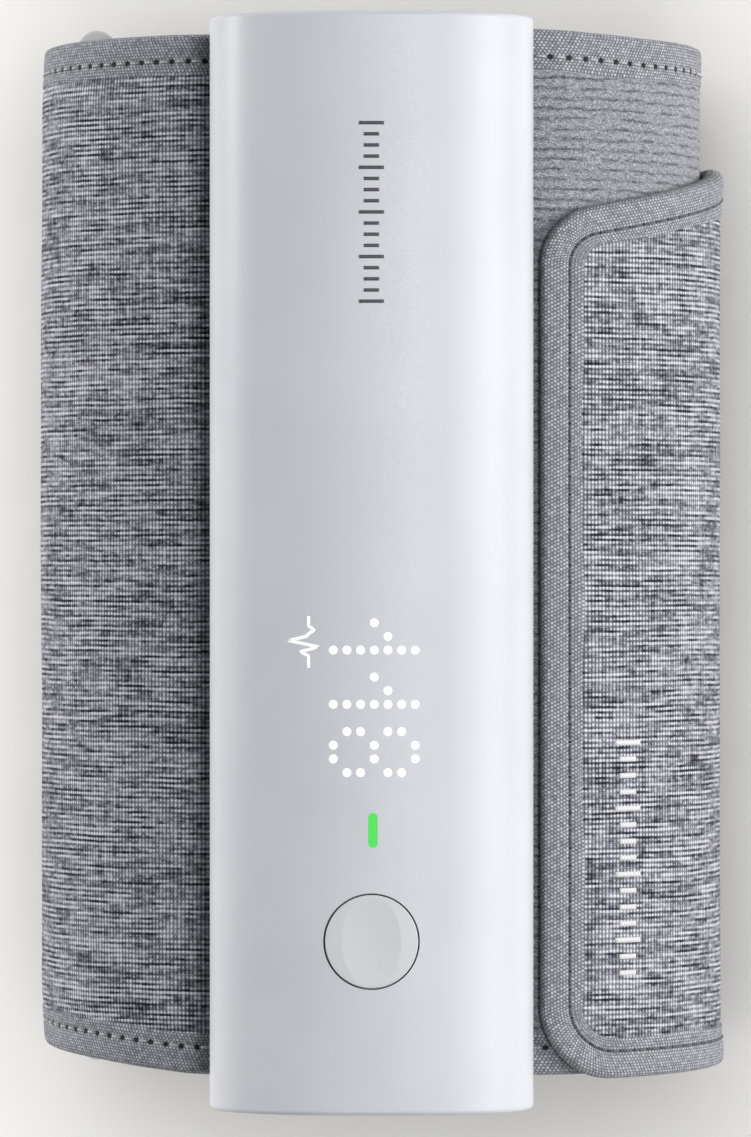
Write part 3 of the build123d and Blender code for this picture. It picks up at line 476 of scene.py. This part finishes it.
def melange_material(name):
    """Light ribs crossed by rows of yarn, which turns from dark to light and back along its row."""
    sh = Shader(name, Sheen_Weight=0.1, Sheen_Roughness=0.5, Specular_IOR_Level=0.2)
    place = sh.weave()
    waver = sh.math("MULTIPLY_ADD", sh.noise(place, 60.0), 0.8, -0.4)
    s, y = sh.split(sh.cells(place, RIB_PITCH, ROW_PITCH))
    s, y = sh.math("MULTIPLY_ADD", waver, 0.4, s), sh.math("ADD", y, waver)
    rib, row = wave(sh, s), wave(sh, y)
    row_number = sh.math("FLOOR", sh.math("MULTIPLY_ADD", y, 2.0, 0.5))
    run = sh.pair(sh.math("MULTIPLY", s, 0.07), sh.math("MULTIPLY", row_number, 7.31))
    rib_number = sh.math("FLOOR", sh.math("ADD", s, 0.5))
    rise = sh.pair(sh.math("MULTIPLY", rib_number, 5.27), sh.math("MULTIPLY", y, 0.11))
    yarn = sh.spread(sh.noise(run, 1.0, 3.0, 0.75), 0.34, 0.64)
    warp = sh.math("MULTIPLY_ADD", sh.spread(sh.noise(rise, 1.0, 2.0, 0.7), 0.34, 0.66), 0.34, -0.17)
    stray = sh.chance(sh.math("ADD", s, 0.5), sh.math("MULTIPLY", y, 2.0))
    yarn = sh.math("ADD", sh.math("ADD", yarn, warp), sh.math("MULTIPLY_ADD", stray, 0.4, -0.2))
    rib, row_rise = sh.math("MULTIPLY_ADD", rib, 0.76, 0.24), sh.math("MULTIPLY_ADD", row, 0.74, 0.26)
    loop = sh.math("MULTIPLY", rib, row_rise)
    float_over = sh.math("MULTIPLY", sh.spread(yarn, 0.85, 1.15), sh.math("MULTIPLY", row, 0.75))
    shade = sh.math("MULTIPLY_ADD", yarn, 0.45, 0.5)
    tone = sh.math("MULTIPLY_ADD", loop, shade, sh.math("MULTIPLY", yarn, 0.26))
    tone = sh.math("MAXIMUM", tone, float_over)
    dark, middle, light = linear(38, 38, 46), linear(155, 156, 166), linear(245, 246, 254)
    colour = sh.ramp(tone, (0.1, dark), (0.45, middle), (0.82, light))
    sh.bump(loop, 0.16)
    return sh.finish(colour, sh.spread(loop, 0, 1, 0.95, 0.75))


def tape_material(name, hole_size, groove_depth_and_shade):
    """Woven tape of grey yarn, with floats in a twill that catch the light. It shows the needle's holes, of
    a size given in stitches, and the groove that each stitch presses into it, both as relief and with
    painted shade that darkens their colour."""
    sh = Shader(name, Sheen_Weight=0.08, Sheen_Roughness=0.4, Specular_IOR_Level=0.25)
    place = sh.weave()
    edge_along, edge_across = sh.split(place)
    along, across = sh.split(sh.cells(place, *TAPE_WEAVE))
    along = sh.math("MULTIPLY_ADD", sh.math("FLOOR", across), 0.37, along)
    middle_along, middle_across = (sh.squared(sh.math("SUBTRACT", sh.math("FRACT", part), 0.5))
                                   for part in (along, across))
    away = sh.math("MULTIPLY_ADD", middle_along, 1.6, middle_across)
    dot = sh.spread(away, 0.0, 0.3, 1.0, 0.0)
    uneven = sh.math("MULTIPLY_ADD", sh.chance(along, across), 0.35, sh.noise(place, 1800.0, 3.0, 0.7))
    tone = sh.math("MULTIPLY", sh.math("MULTIPLY_ADD", dot, 0.7, 0.38), uneven)
    dark, middle, light = linear(90, 91, 98), linear(160, 161, 169), linear(236, 237, 243)
    colour = sh.ramp(tone, (0.05, dark), (0.4, middle), (0.95, light))
    nearest = sh.math("PINGPONG", sh.math("DIVIDE", edge_along, STITCH_PITCH * MM), 0.5)
    beside = sh.math("SUBTRACT", edge_across, (TAPE_REACH - TAPE_STITCH) * MM)
    beside = sh.math("DIVIDE", beside, STITCH_PITCH * MM)
    hole_away = sh.math("SQRT", sh.math("ADD", sh.squared(nearest), sh.squared(beside)))
    hole = sh.spread(hole_away, hole_size * 0.45, hole_size, 1.0, 0.0)
    groove = sh.spread(sh.math("ABSOLUTE", beside), 0.03, 0.085, groove_depth_and_shade, 0.0)
    groove = sh.math("MULTIPLY", groove, sh.spread(nearest, 0.06, 0.12))
    pressed = sh.math("MAXIMUM", hole, groove)
    sh.bump(sh.math("MULTIPLY_ADD", pressed, -1.5, dot), 0.1)
    # painted shade: the tape's colour is mixed towards dark grey in the needle holes and along the stitch
    # groove
    return sh.finish(sh.mix(pressed, colour, linear(52, 52, 57)), sh.spread(dot, 0, 1, 0.9, 0.7))


def fleece_material(name):
    """Brushed loop pile, with the lines that its knitted backing leaves. Its colour follows its relief,
    which paints shade into the backing's lines.
    """
    sh = Shader(name, Sheen_Weight=0.25, Sheen_Roughness=0.6, Specular_IOR_Level=0.15)
    place = sh.weave()
    _, y = sh.split(sh.cells(place, FLEECE_PITCH, FLEECE_PITCH))
    drift = sh.math("MULTIPLY_ADD", sh.noise(place, 300.0), 0.6, -0.3)
    line = sh.math("POWER", wave(sh, sh.math("ADD", y, drift)), 4.0)
    breaks = sh.noise(sh.scaled(place, (300.0, 1500.0, 0)), 1.0, 3.0)
    line = sh.math("MULTIPLY", line, sh.spread(breaks, 0.35, 0.6))
    fuzz = sh.noise(sh.scaled(place, (3600.0, 5200.0, 0)), 1.0, 2.0, 0.6)
    tufts = sh.noise(sh.scaled(place, (1100.0, 2000.0, 0)), 1.0, 2.0)
    pile = sh.math("MULTIPLY_ADD", fuzz, 0.75, sh.math("MULTIPLY", tufts, 0.35))
    height = sh.math("MULTIPLY_ADD", line, -0.16, pile)
    # painted shade: the colour ramp follows the relief, so the backing's lines are darker
    dark, middle, light = linear(84, 85, 91), linear(164, 165, 173), linear(238, 239, 245)
    colour = sh.ramp(height, (0.34, dark), (0.54, middle), (0.74, light))
    sh.bump(height, 0.3)
    return sh.finish(colour, 0.95)


def hook_material(name):
    """Rows of small moulded hooks."""
    sh = Shader(name, Specular_IOR_Level=0.45)
    s, y = sh.split(sh.cells(sh.weave(), *HOOK_PITCH))
    hook = sh.math("MULTIPLY", wave(sh, s), wave(sh, sh.math("MULTIPLY_ADD", sh.math("FLOOR", s), 0.5, y)))
    colour = sh.mix(sh.spread(hook, 0.2, 0.9), linear(62, 63, 68), linear(112, 113, 120))
    sh.bump(hook, 0.3)
    return sh.finish(colour, sh.spread(sh.chance(s, y), 0, 1, 0.4, 0.6))


def grained_material(name, colour, shade, roughness, grain=2500.0, depth=0.01, **settings):
    """A moulded or coated material, with a fine grain and faint differences of shade over larger patches."""
    sh = Shader(name, **settings)
    place = sh.place()
    fine = sh.noise(place, grain, 3.0, 0.6)
    broad = sh.noise(place, 60.0, 2.0)
    mixed = sh.mix(sh.spread(broad, 0.3, 0.7), linear(*colour), linear(*shade))
    sh.bump(fine, depth)
    return sh.finish(mixed, sh.spread(fine, 0.3, 0.7, roughness * 0.88, min(1.0, roughness * 1.12)))


def thread_material(name, colour):
    """Twisted thread."""
    sh = Shader(name, Sheen_Weight=0.1, Specular_IOR_Level=0.4)
    along, round_it = sh.split(sh.cells(sh.weave(), 0.5, 1.2))
    twist = wave(sh, sh.math("ADD", along, round_it))
    sh.bump(twist, 0.05)
    return sh.finish(sh.mix(twist, linear(*(c * 0.8 for c in colour)), linear(*colour)), 0.6)


def chrome_material(name):
    """Bright plated wire with faint drawing lines."""
    sh = Shader(name, Metallic=1.0)
    lines = sh.noise(sh.scaled(sh.place(), (9000.0, 60.0, 9000.0)), 1.0, 2.0)
    colour = sh.mix(lines, linear(166, 167, 173), linear(190, 191, 196))
    sh.bump(lines, 0.001)
    return sh.finish(colour, sh.spread(lines, 0.3, 0.7, 0.05, 0.1))


def board_material(name):
    """Green board with tracks."""
    sh = Shader(name, Specular_IOR_Level=0.5, Coat_Weight=0.4)
    x, y = sh.split(sh.cells(sh.place(), 1.3, 1.7))
    track = sh.spread(sh.chance(x, y), 0.55, 0.6)
    colour = sh.mix(track, linear(20, 84, 52), linear(40, 120, 74))
    sh.bump(track, 0.03)
    return sh.finish(colour, 0.4)


def glow_material(name, colour, strength):
    """A lit mark, with faint specks of a slightly brighter tint."""
    sh = Shader(name)
    spots = sh.noise(sh.place(), 1400.0)
    tint = sh.mix(spots, linear(*colour), linear(*(min(255, c * 1.03) for c in colour)))
    sh.put(sh.surface.inputs["Emission Color"], tint)
    sh.surface.inputs["Emission Strength"].default_value = strength
    return sh.finish(tint, 0.5)


melange = melange_material("melange_knit")
tape_cloth = tape_material("binding_tape", 0.23, 0.45)
flap_tape_cloth = tape_material("flap_binding_tape", 0.12, 0.8)
fleece = fleece_material("brushed_fleece")
hooks = hook_material("hook_face")
thread = thread_material("sewing_thread", (236, 237, 242))
# the flap's thread is a darker copy of the sewing thread: its grey is painted darker with the shade of the
# sunk seam it lies in
flap_thread_shaded = thread_material("flap_thread_painted_shade", (128, 129, 135))
white_plastic = grained_material("white_shell", (237, 240, 245), (233, 236, 242), 0.4, depth=0.006)
grey_print = grained_material("grey_print", (104, 104, 108), (98, 98, 102), 0.5)
white_print = grained_material("white_print", (252, 252, 252), (248, 248, 248), 0.6)
film = grained_material("bladder_film", (196, 190, 176), (184, 178, 164), 0.35)

SLOT_MATERIALS = {
    "tube_plastic": white_plastic,
    "button_plastic": grained_material("button_cap_white", (240, 242, 246), (236, 239, 244), 0.42),
    "light_guide": grained_material("light_guide_black", (36, 36, 36), (44, 44, 44), 0.5),
    "status_lens": glow_material("status_green", (70, 203, 82), 0.55),
    "electronics": grained_material("black_package", (34, 35, 37), (44, 45, 48), 0.45),
    "board": board_material("circuit_board"),
    "inner_plastic": grained_material("inner_moulding", (198, 199, 203), (186, 187, 192), 0.5),
    "steel": grained_material("bright_steel", (180, 180, 180), (198, 198, 198), 0.3, Metallic=1.0),
    "cell_wrap": grained_material("cell_sleeve", (52, 92, 150), (44, 84, 142), 0.35),
    "foam": grained_material("grey_foam", (70, 70, 70), (84, 84, 84), 0.95, grain=1500.0, depth=0.15),
    "hose_rubber": grained_material("hose_silicone", (176, 178, 182), (160, 162, 168), 0.55),
    "brass_parts": grained_material("plain_brass", (200, 168, 96), (186, 152, 82), 0.3, Metallic=1.0),
    "wire_chrome": chrome_material("bright_wire"),
    "melange": melange,
    "binding": tape_cloth,
    "fleece": fleece,
    "hook": hooks,
    "bladder_film": film,
}


# ---------------------------------------------------------------- cuff panel
panel = Route(PANEL)
base = Route(BASE)
strap = Route(STRAP)
PANEL_LOW = [(0, CUFF_LOW_Y, 0), (panel.where(0, -26), CUFF_LOW_Y, 60), (panel.where(0, -42), -73.9, 40)]
PANEL_LOW += [(panel.length, -72.4, 0)]
PANEL_HIGH = [(panel.length, CUFF_TOP_Y, 0), (0, CUFF_TOP_Y, 0)]


def panel_pinch(s, y):
    """1 along the panel's sewn edges, 0 where the bladder fills it."""
    low = np.interp(s, [c[0] for c in PANEL_LOW], [c[1] for c in PANEL_LOW])
    return 1 - smooth(0, 10, np.minimum(y - low, CUFF_TOP_Y - y))


def panel_near(s, y):
    free = smooth(16, 34, s)  # it lies flat under the tube
    return panel_pinch(s, y) * 0.75 * free - 0.35 * free * ripple(s, y, 2.0) * (1 - panel_pinch(s, y))


def panel_far(s, y):
    return PANEL_T - 1.0 * panel_pinch(s, y)


def offset(face, distance):
    """A face moved by a distance."""
    return lambda s, y: face(s, y) + distance


def face_at(h):
    """A face at one height."""
    return lambda s, y: h + 0 * s


def even(start, end, step):
    return np.linspace(start, end, max(2, round((end - start) / step) + 1))


panel_s = even(0, panel.length, 1.2)
low_edge, high_edge = Edge(PANEL_LOW), Edge(PANEL_HIGH)
panel_low, panel_high = edge_limits(panel_s, low_edge.inset(PANEL_INSET), high_edge.inset(PANEL_INSET)[::-1])

cuff_panel = layer("cuff_panel", panel, panel_s, panel_low, panel_high,
                   panel_near, offset(panel_near, FACE_T), 120, melange)
cuff_lining = layer("cuff_lining", panel, panel_s, panel_low, panel_high,
                    offset(panel_far, -FACE_T), panel_far, 80, melange)
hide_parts("panel_outer")
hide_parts("panel_lining")

BLADDER_MARGIN, BLADDER_H, BLADDER_HALF_T = 8, 3.2, 0.5
bladder_s = even(10, panel.length - 18, 2.5)
bladder_edges = (CUFF_LOW_Y + BLADDER_MARGIN, CUFF_TOP_Y - BLADDER_MARGIN)
bladder_low, bladder_high = (np.full(len(bladder_s), y) for y in bladder_edges)


def bladder_face(side):
    """One face of the empty bag, which is welded flat at its rim."""
    def face(s, y):
        across = np.minimum(y - bladder_low[0], bladder_high[0] - y)
        along = np.minimum(s - bladder_s[0], bladder_s[-1] - s)
        return BLADDER_H + side * BLADDER_HALF_T * np.sqrt(smooth(-0.1, 6, np.minimum(across, along)))
    return face


cuff_bladder = layer("cuff_bladder", panel, bladder_s, bladder_low, bladder_high,
                     bladder_face(-1), bladder_face(1), 60, film)
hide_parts("bladder")

PANEL_PUFF = (0.42, 0.2)
cuff_tape_bottom = tape("cuff_tape_bottom", panel, [low_edge], panel_near, panel_far, PANEL_PUFF,
                        tape_cloth, seed=0.4)
cuff_tape_top = tape("cuff_tape_top", panel, [high_edge], panel_near, panel_far, PANEL_PUFF,
                     tape_cloth, seed=2.2)
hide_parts("panel_binding_bottom")
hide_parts("panel_binding_top")
cuff_stitches = stitches("cuff_stitches", panel, [low_edge, high_edge], panel_near, panel_far, PANEL_PUFF,
                         thread)

# the sleeve at the panel's end holds the ring's upper bar
hem_lowest, hem_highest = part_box("ring_hem")
SLEEVE = [(-47.49, 30.33, 0), (-45.63, 23.89, 2.3), (-40.58, 26.06, 2.3), (-44.0, 31.83, 0)]
sleeve = Route(SLEEVE)
sleeve_s = even(0, sleeve.length, 0.5)
sleeve_low, sleeve_high = (np.full(len(sleeve_s), y) for y in (hem_lowest[1] / MM, hem_highest[1] / MM))
ring_sleeve = layer("ring_sleeve", sleeve, sleeve_s, sleeve_low, sleeve_high,
                    lambda s, y: -0.55 - 0.12 * ripple(s, y, 3.0), face_at(0.5), 90, melange)
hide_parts("ring_hem")


# ---------------------------------------------------------------- strap under the cuff
strap_near, strap_middle, pile_root, strap_far = map(face_at, (-STRAP_HALF_T, 0, 0.02, STRAP_HALF_T))
BASE_HIGH_Y, STRAP_LOW_Y, STRAP_HIGH_Y = 77.7, -70.2, 71.5
# the strap narrows on the floor, between these two places
WIDE_X, NARROW_X = 15, -30
base_floor = base.where(1, 4.25)
base_wide, base_narrow = (base.where(0, x, base_floor) for x in (WIDE_X, NARROW_X))
BASE_LOW = [(0, CUFF_LOW_Y, 0), (base_wide, CUFF_LOW_Y, 60)]
BASE_LOW += [(base_narrow, STRAP_LOW_Y, 60), (base.length, STRAP_LOW_Y, 0)]
BASE_HIGH = [(base.length, STRAP_HIGH_Y, 0), (base_narrow, STRAP_HIGH_Y, 60)]
BASE_HIGH += [(base_wide, BASE_HIGH_Y, 60), (24, CUFF_TOP_Y, 60), (0, CUFF_TOP_Y + 1.0, 0)]
base_low_edge, base_high_edge = Edge(BASE_LOW), Edge(BASE_HIGH)
base_s = even(0, base.length, 1.2)
base_inner = [edge.inset(STRAP_INSET) for edge in (base_low_edge, base_high_edge)]
base_low, base_high = edge_limits(base_s, base_inner[0], base_inner[1][::-1])


def fleece_ribs(s, y):
    """The pile's own relief."""
    drift = 0.5 * np.sin(s / 4.0)
    return STRAP_HALF_T - 0.08 * (0.5 + 0.5 * np.cos(math.tau * (y + drift) / FLEECE_PITCH))


strap_base = layer("strap_base", base, base_s, base_low, base_high,
                   strap_near, strap_middle, 60, melange)
strap_base_pile = layer("strap_base_pile", base, base_s, base_low, base_high,
                        pile_root, fleece_ribs, 440, fleece)
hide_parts("strap_base_fabric")
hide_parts("strap_base_fleece")
BASE_PUFF = (0.1, 0.2)
base_edges = [base_low_edge, base_high_edge]
strap_base_tape = tape("strap_base_tape", base, base_edges, strap_near, strap_far, BASE_PUFF,
                       tape_cloth)
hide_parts("strap_base_binding")
strap_base_stitches = stitches("strap_base_stitches", base, base_edges, strap_near, strap_far, BASE_PUFF,
                               thread, faces_sewn=(1,))

# ---------------------------------------------------------------- strap from the ring to the flap's tip
floor_start = strap.where(1, 1.35)
hinge_s = strap.where(1, HINGE_Z, strap.where(0, 45, floor_start))
tip_s = strap.where(0, FLAP_TIP_X, hinge_s + 5)
strap_wide, strap_narrow = (strap.where(0, x, floor_start) for x in (WIDE_X, NARROW_X))
WALK = [(0, STRAP_LOW_Y, 0), (strap_narrow, STRAP_LOW_Y, 60)]
WALK += [(strap_wide, CUFF_LOW_Y, 60), (tip_s - 12, CUFF_LOW_Y - 0.6, 40)]
WALK += [(tip_s, CUFF_LOW_Y, 11), (tip_s, 51.2, 9), (strap.where(0, 45, hinge_s), 55.8, 60)]
WALK += [(hinge_s, 60.2, 60), (strap.where(0, 30, floor_start), 61.0, 40)]
WALK += [(strap_narrow, STRAP_HIGH_Y, 60), (0, STRAP_HIGH_Y, 0)]
walk = Edge(WALK)


def flap_near(s, y):
    """The strap's outer face: it swells a little wherever it is off the floor."""
    free = smooth(5, 20, strap.height(s)) * smooth(8, 20, s)
    return -STRAP_HALF_T - 0.3 * free * ripple(s, y, 4.0)


def flap_back(s, y):
    """The back of the fabric, which is thicker on the flap."""
    return 0.2 * smooth(hinge_s - 3, hinge_s + 3, s)


def towards_tip(start, corner, end, step, count):
    """Steps along a cloth, which get shorter over the rounded corner before its end."""
    shorter = np.linspace(1, 0, count)[1:] ** 1.8
    return np.concatenate((even(start, corner, step), end - (end - corner) * shorter))


def tip_limits(s, line):
    """The y of a cloth's lower and upper edge at each s, where one line walks round its tip."""
    tip = int(np.argmax(line[:, 0]))
    return edge_limits(s, line[: tip + 1], line[tip:][::-1])


inner = walk.inset(STRAP_INSET)
strap_s = towards_tip(0, tip_s - 14, tip_s - STRAP_INSET - 0.001, 1.2, 22)
strap_lower, strap_upper = tip_limits(strap_s, inner)
strap_cloth = layer("strap", strap, strap_s, strap_lower, strap_upper,
                    flap_near, flap_back, 110, melange)
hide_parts("strap_return_fabric", "flap_fabric")

pile_s = even(0, hinge_s, 1.2)
pile_lower, pile_upper = tip_limits(pile_s, inner)
strap_pile = layer("strap_pile", strap, pile_s, pile_lower, pile_upper,
                   pile_root, strap_far, 120, fleece)
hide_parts("strap_return_fleece")

FLAP_PUFF = (0.5, 0.1)
strap_tape = tape("strap_tape", strap, [walk], flap_near, strap_far, FLAP_PUFF,
                  flap_tape_cloth, seed=5.0)
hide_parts("strap_return_binding", "flap_binding")
strap_stitches = stitches("strap_stitches", strap, [walk], flap_near, strap_far, FLAP_PUFF,
                          flap_thread_shaded, faces_sewn=(-1,))

HOOK_MARGIN = 8
hook_start, hook_end, hook_low_y = hinge_s + 9, tip_s - HOOK_MARGIN, CUFF_LOW_Y + HOOK_MARGIN
HOOK_WALK = [(hook_start, hook_low_y, 0), (hook_end, hook_low_y, 6), (hook_end, 43, 5), (hook_start, 50, 0)]
hook_walk = Edge(HOOK_WALK)
hook_s = towards_tip(hook_start, hook_end - 7, hook_end - 0.001, 1.5, 14)
hook_lower, hook_upper = tip_limits(hook_s, hook_walk.points)
hook_face = layer("hook_face", strap, hook_s, hook_lower, hook_upper,
                  face_at(0.22), strap_far, 80, hooks)
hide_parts("hook_patch")


# ---------------------------------------------------------------- display, lights and prints
tube_lowest, tube_highest = (np.array(corner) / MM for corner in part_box("tube_shell"))
TUBE_HALF_W = (tube_highest[0] - tube_lowest[0]) / 2
TUBE_HALF_H = (tube_highest[2] - tube_lowest[2]) / 2
TUBE_MID_Z = tube_highest[2] - TUBE_HALF_H
OVAL_POWER = 2.5


def on_tube(x, y, h):
    """Positions on the tube's front."""
    z = TUBE_MID_Z + TUBE_HALF_H * (1 - np.abs(x / TUBE_HALF_W) ** OVAL_POWER) ** (1 / OVAL_POWER) + h
    return np.stack(np.broadcast_arrays(x, y, z), axis=-1) * MM


def on_flap(x, y, h):
    """Positions on the flap's outer face, by their x."""
    s = np.array([strap.where(0, value, hinge_s + 5) for value in np.atleast_1d(x)])
    return strap.place(s, y, flap_near(s, y) - h)


DOT_PITCH, DOT_R = 1.95, 0.6
DISPLAY_X = 0.37
# each digit's place, and its columns of dots
DIGITS = [(-8.55, "0001000 0000100 1111111"), (-16.3, "0001000 0000100 1111111")]
DIGITS += [(-24.1, "0110110 1001001 1001001 0110110")]


def lit_dots():
    dots = []
    for first_y, columns in DIGITS:
        for number, column in enumerate(columns.split()):
            for row, lit in enumerate(column):
                if lit == "1":
                    x = DISPLAY_X + DOT_PITCH * (row - 3)
                    dots.append(disc(on_tube, x, first_y - DOT_PITCH * number, DOT_R))
    return dots


display_dots = joined("display_dots", lit_dots(),
                      glow_material("display_white", (255, 255, 255), 0.9))

PULSE = [(-9.0, -7.6), (-9.0, -9.0), (-8.2, -9.6), (-9.0, -10.1), (-9.3, -10.5), (-11.9, -11.1)]
PULSE += [(-7.6, -12.0), (-10.2, -12.7), (-9.0, -13.3), (-9.0, -15.0)]
pulse_line = [point for a, b in zip(PULSE, PULSE[1:]) for point in np.linspace(a, b, 6)[:-1]] + [PULSE[-1]]
pulse_mark = joined("pulse_mark", [stroke(on_tube, pulse_line, 0.42)],
                    glow_material("mark_white", (252, 252, 252), 0.6))


def scale_marks(surface, middle, first_y, last_y, count, long, short, width, thickness=PRINT_T):
    """A row of generic graduation lines: every fourth is long."""
    marks = []
    for i in range(count):
        half = (long if i % 4 == 0 else short) / 2
        y = first_y + (last_y - first_y) * i / (count - 1)
        line = [(x, y) for x in np.linspace(middle - half, middle + half, 8)]
        marks.append(stroke(surface, line, width, thickness))
    return marks


tube_marks = joined("tube_marks", scale_marks(on_tube, 0.0, 62.9, 37.4, 17, 3.6, 2.2, 0.5),
                    grey_print)
flap_marks = joined("flap_marks", scale_marks(on_flap, 37.0, -26.5, -60.5, 15, 3.7, 2.4, 0.75, FLAP_PRINT_T),
                    white_print)

# a copy of the valve's spring, which is pressed shorter as the valve opens
spring_node = frame["nodes"]["valve_spring"]
return_spring = bpy.data.objects.new("return_spring", spring_node.data.copy())
bpy.context.collection.objects.link(return_spring)
return_spring.material_slots[0].material = SLOT_MATERIALS["steel"]
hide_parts("valve_spring")

# ---------------------------------------------------------------- what each piece rides on
for item in (cuff_panel, cuff_lining, cuff_bladder, cuff_tape_bottom, cuff_tape_top, cuff_stitches,
             ring_sleeve, strap_base, strap_base_pile, strap_base_tape, strap_base_stitches,
             display_dots, pulse_mark, tube_marks, return_spring):
    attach(item, "body")
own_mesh(return_spring)
hinge_x = strap.place(hinge_s, 0.0, 0.0)[0]
for item in (strap_cloth, strap_pile, strap_tape, strap_stitches, hook_face, flap_marks):
    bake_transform(item)


# ---------------------------------------------------------------- finishes of the CAD nodes
slots = {part["node"]: part["material_slot"] for part in frame["record"]["subparts"]}
for name, node in frame["nodes"].items():
    for slot in node.material_slots:
        slot.material = SLOT_MATERIALS[slots[name]]

# ---------------------------------------------------------------- floor, light and camera
bpy.ops.mesh.primitive_plane_add(size=6.0)
floor = bpy.context.object
floor.name = "floor"
floor_cover = grained_material("pale_floor", (238, 237, 234), (236, 235, 232), 0.9, depth=0.0)
floor.data.materials.append(floor_cover)


def area_light(name, place, aim, size, power, lit, bounces=0):
    """A square soft light for the objects of one collection."""
    light = bpy.data.lights.new(name, "AREA")
    light.shape, light.size, light.energy = "SQUARE", size, power
    light.cycles.max_bounces = bounces
    lamp = bpy.data.objects.new(name, light)
    bpy.context.scene.collection.objects.link(lamp)
    lamp.location = place
    lamp.rotation_euler = (Vector(aim) - Vector(place)).to_track_quat("-Z", "Y").to_euler()
    lamp.light_linking.receiver_collection = lit


lit_object, lit_floor = (bpy.data.collections.new(name) for name in ("lit_object", "lit_floor"))
for item in bpy.context.scene.objects:
    if item.type == "MESH":
        (lit_floor if item == floor else lit_object).objects.link(item)

area_light("key_low", (1.35, 0.15, 0.69), (0, 0, 0.06), 0.7, 8.9, lit_object)
area_light("key_high", (1.06, 0.15, 1.12), (0, 0, 0.06), 0.7, 7, lit_object)
area_light("rim_left", (-1.4, 0.4, 0.08), (0, 0, 0.07), 0.12, 10.6, lit_object)
area_light("overhead", (0.28, 0.1, 1.88), (0, 0, 0), 0.3, 9.4, lit_object)
area_light("floor_key", (-0.8, 0.75, 1.5), (0, 0, 0), 1.4, 5.5, lit_floor, bounces=4)
area_light("floor_fill", (-0.1, 0.05, 2.0), (0, 0, 0), 2.0, 51, lit_floor, bounces=4)

world = bpy.data.worlds.new("studio")
bpy.context.scene.world = world
world.use_nodes = True
background = world.node_tree.nodes["Background"]
background.inputs["Color"].default_value = (0.95, 0.98, 1.0, 1)
background.inputs["Strength"].default_value = 0.03

CAMERA_PLACE, CAMERA_LENS = (0.00057, -0.00079, 1.0), 200.6  # it looks straight down
camera_data = bpy.data.cameras.new("camera")
camera_data.sensor_width, camera_data.lens = 36.0, CAMERA_LENS
camera_data.clip_end = 10.0
camera = bpy.data.objects.new("camera", camera_data)
bpy.context.collection.objects.link(camera)
camera.location = CAMERA_PLACE
bpy.context.scene.camera = camera
bpy.context.scene.view_settings.view_transform = "Standard"
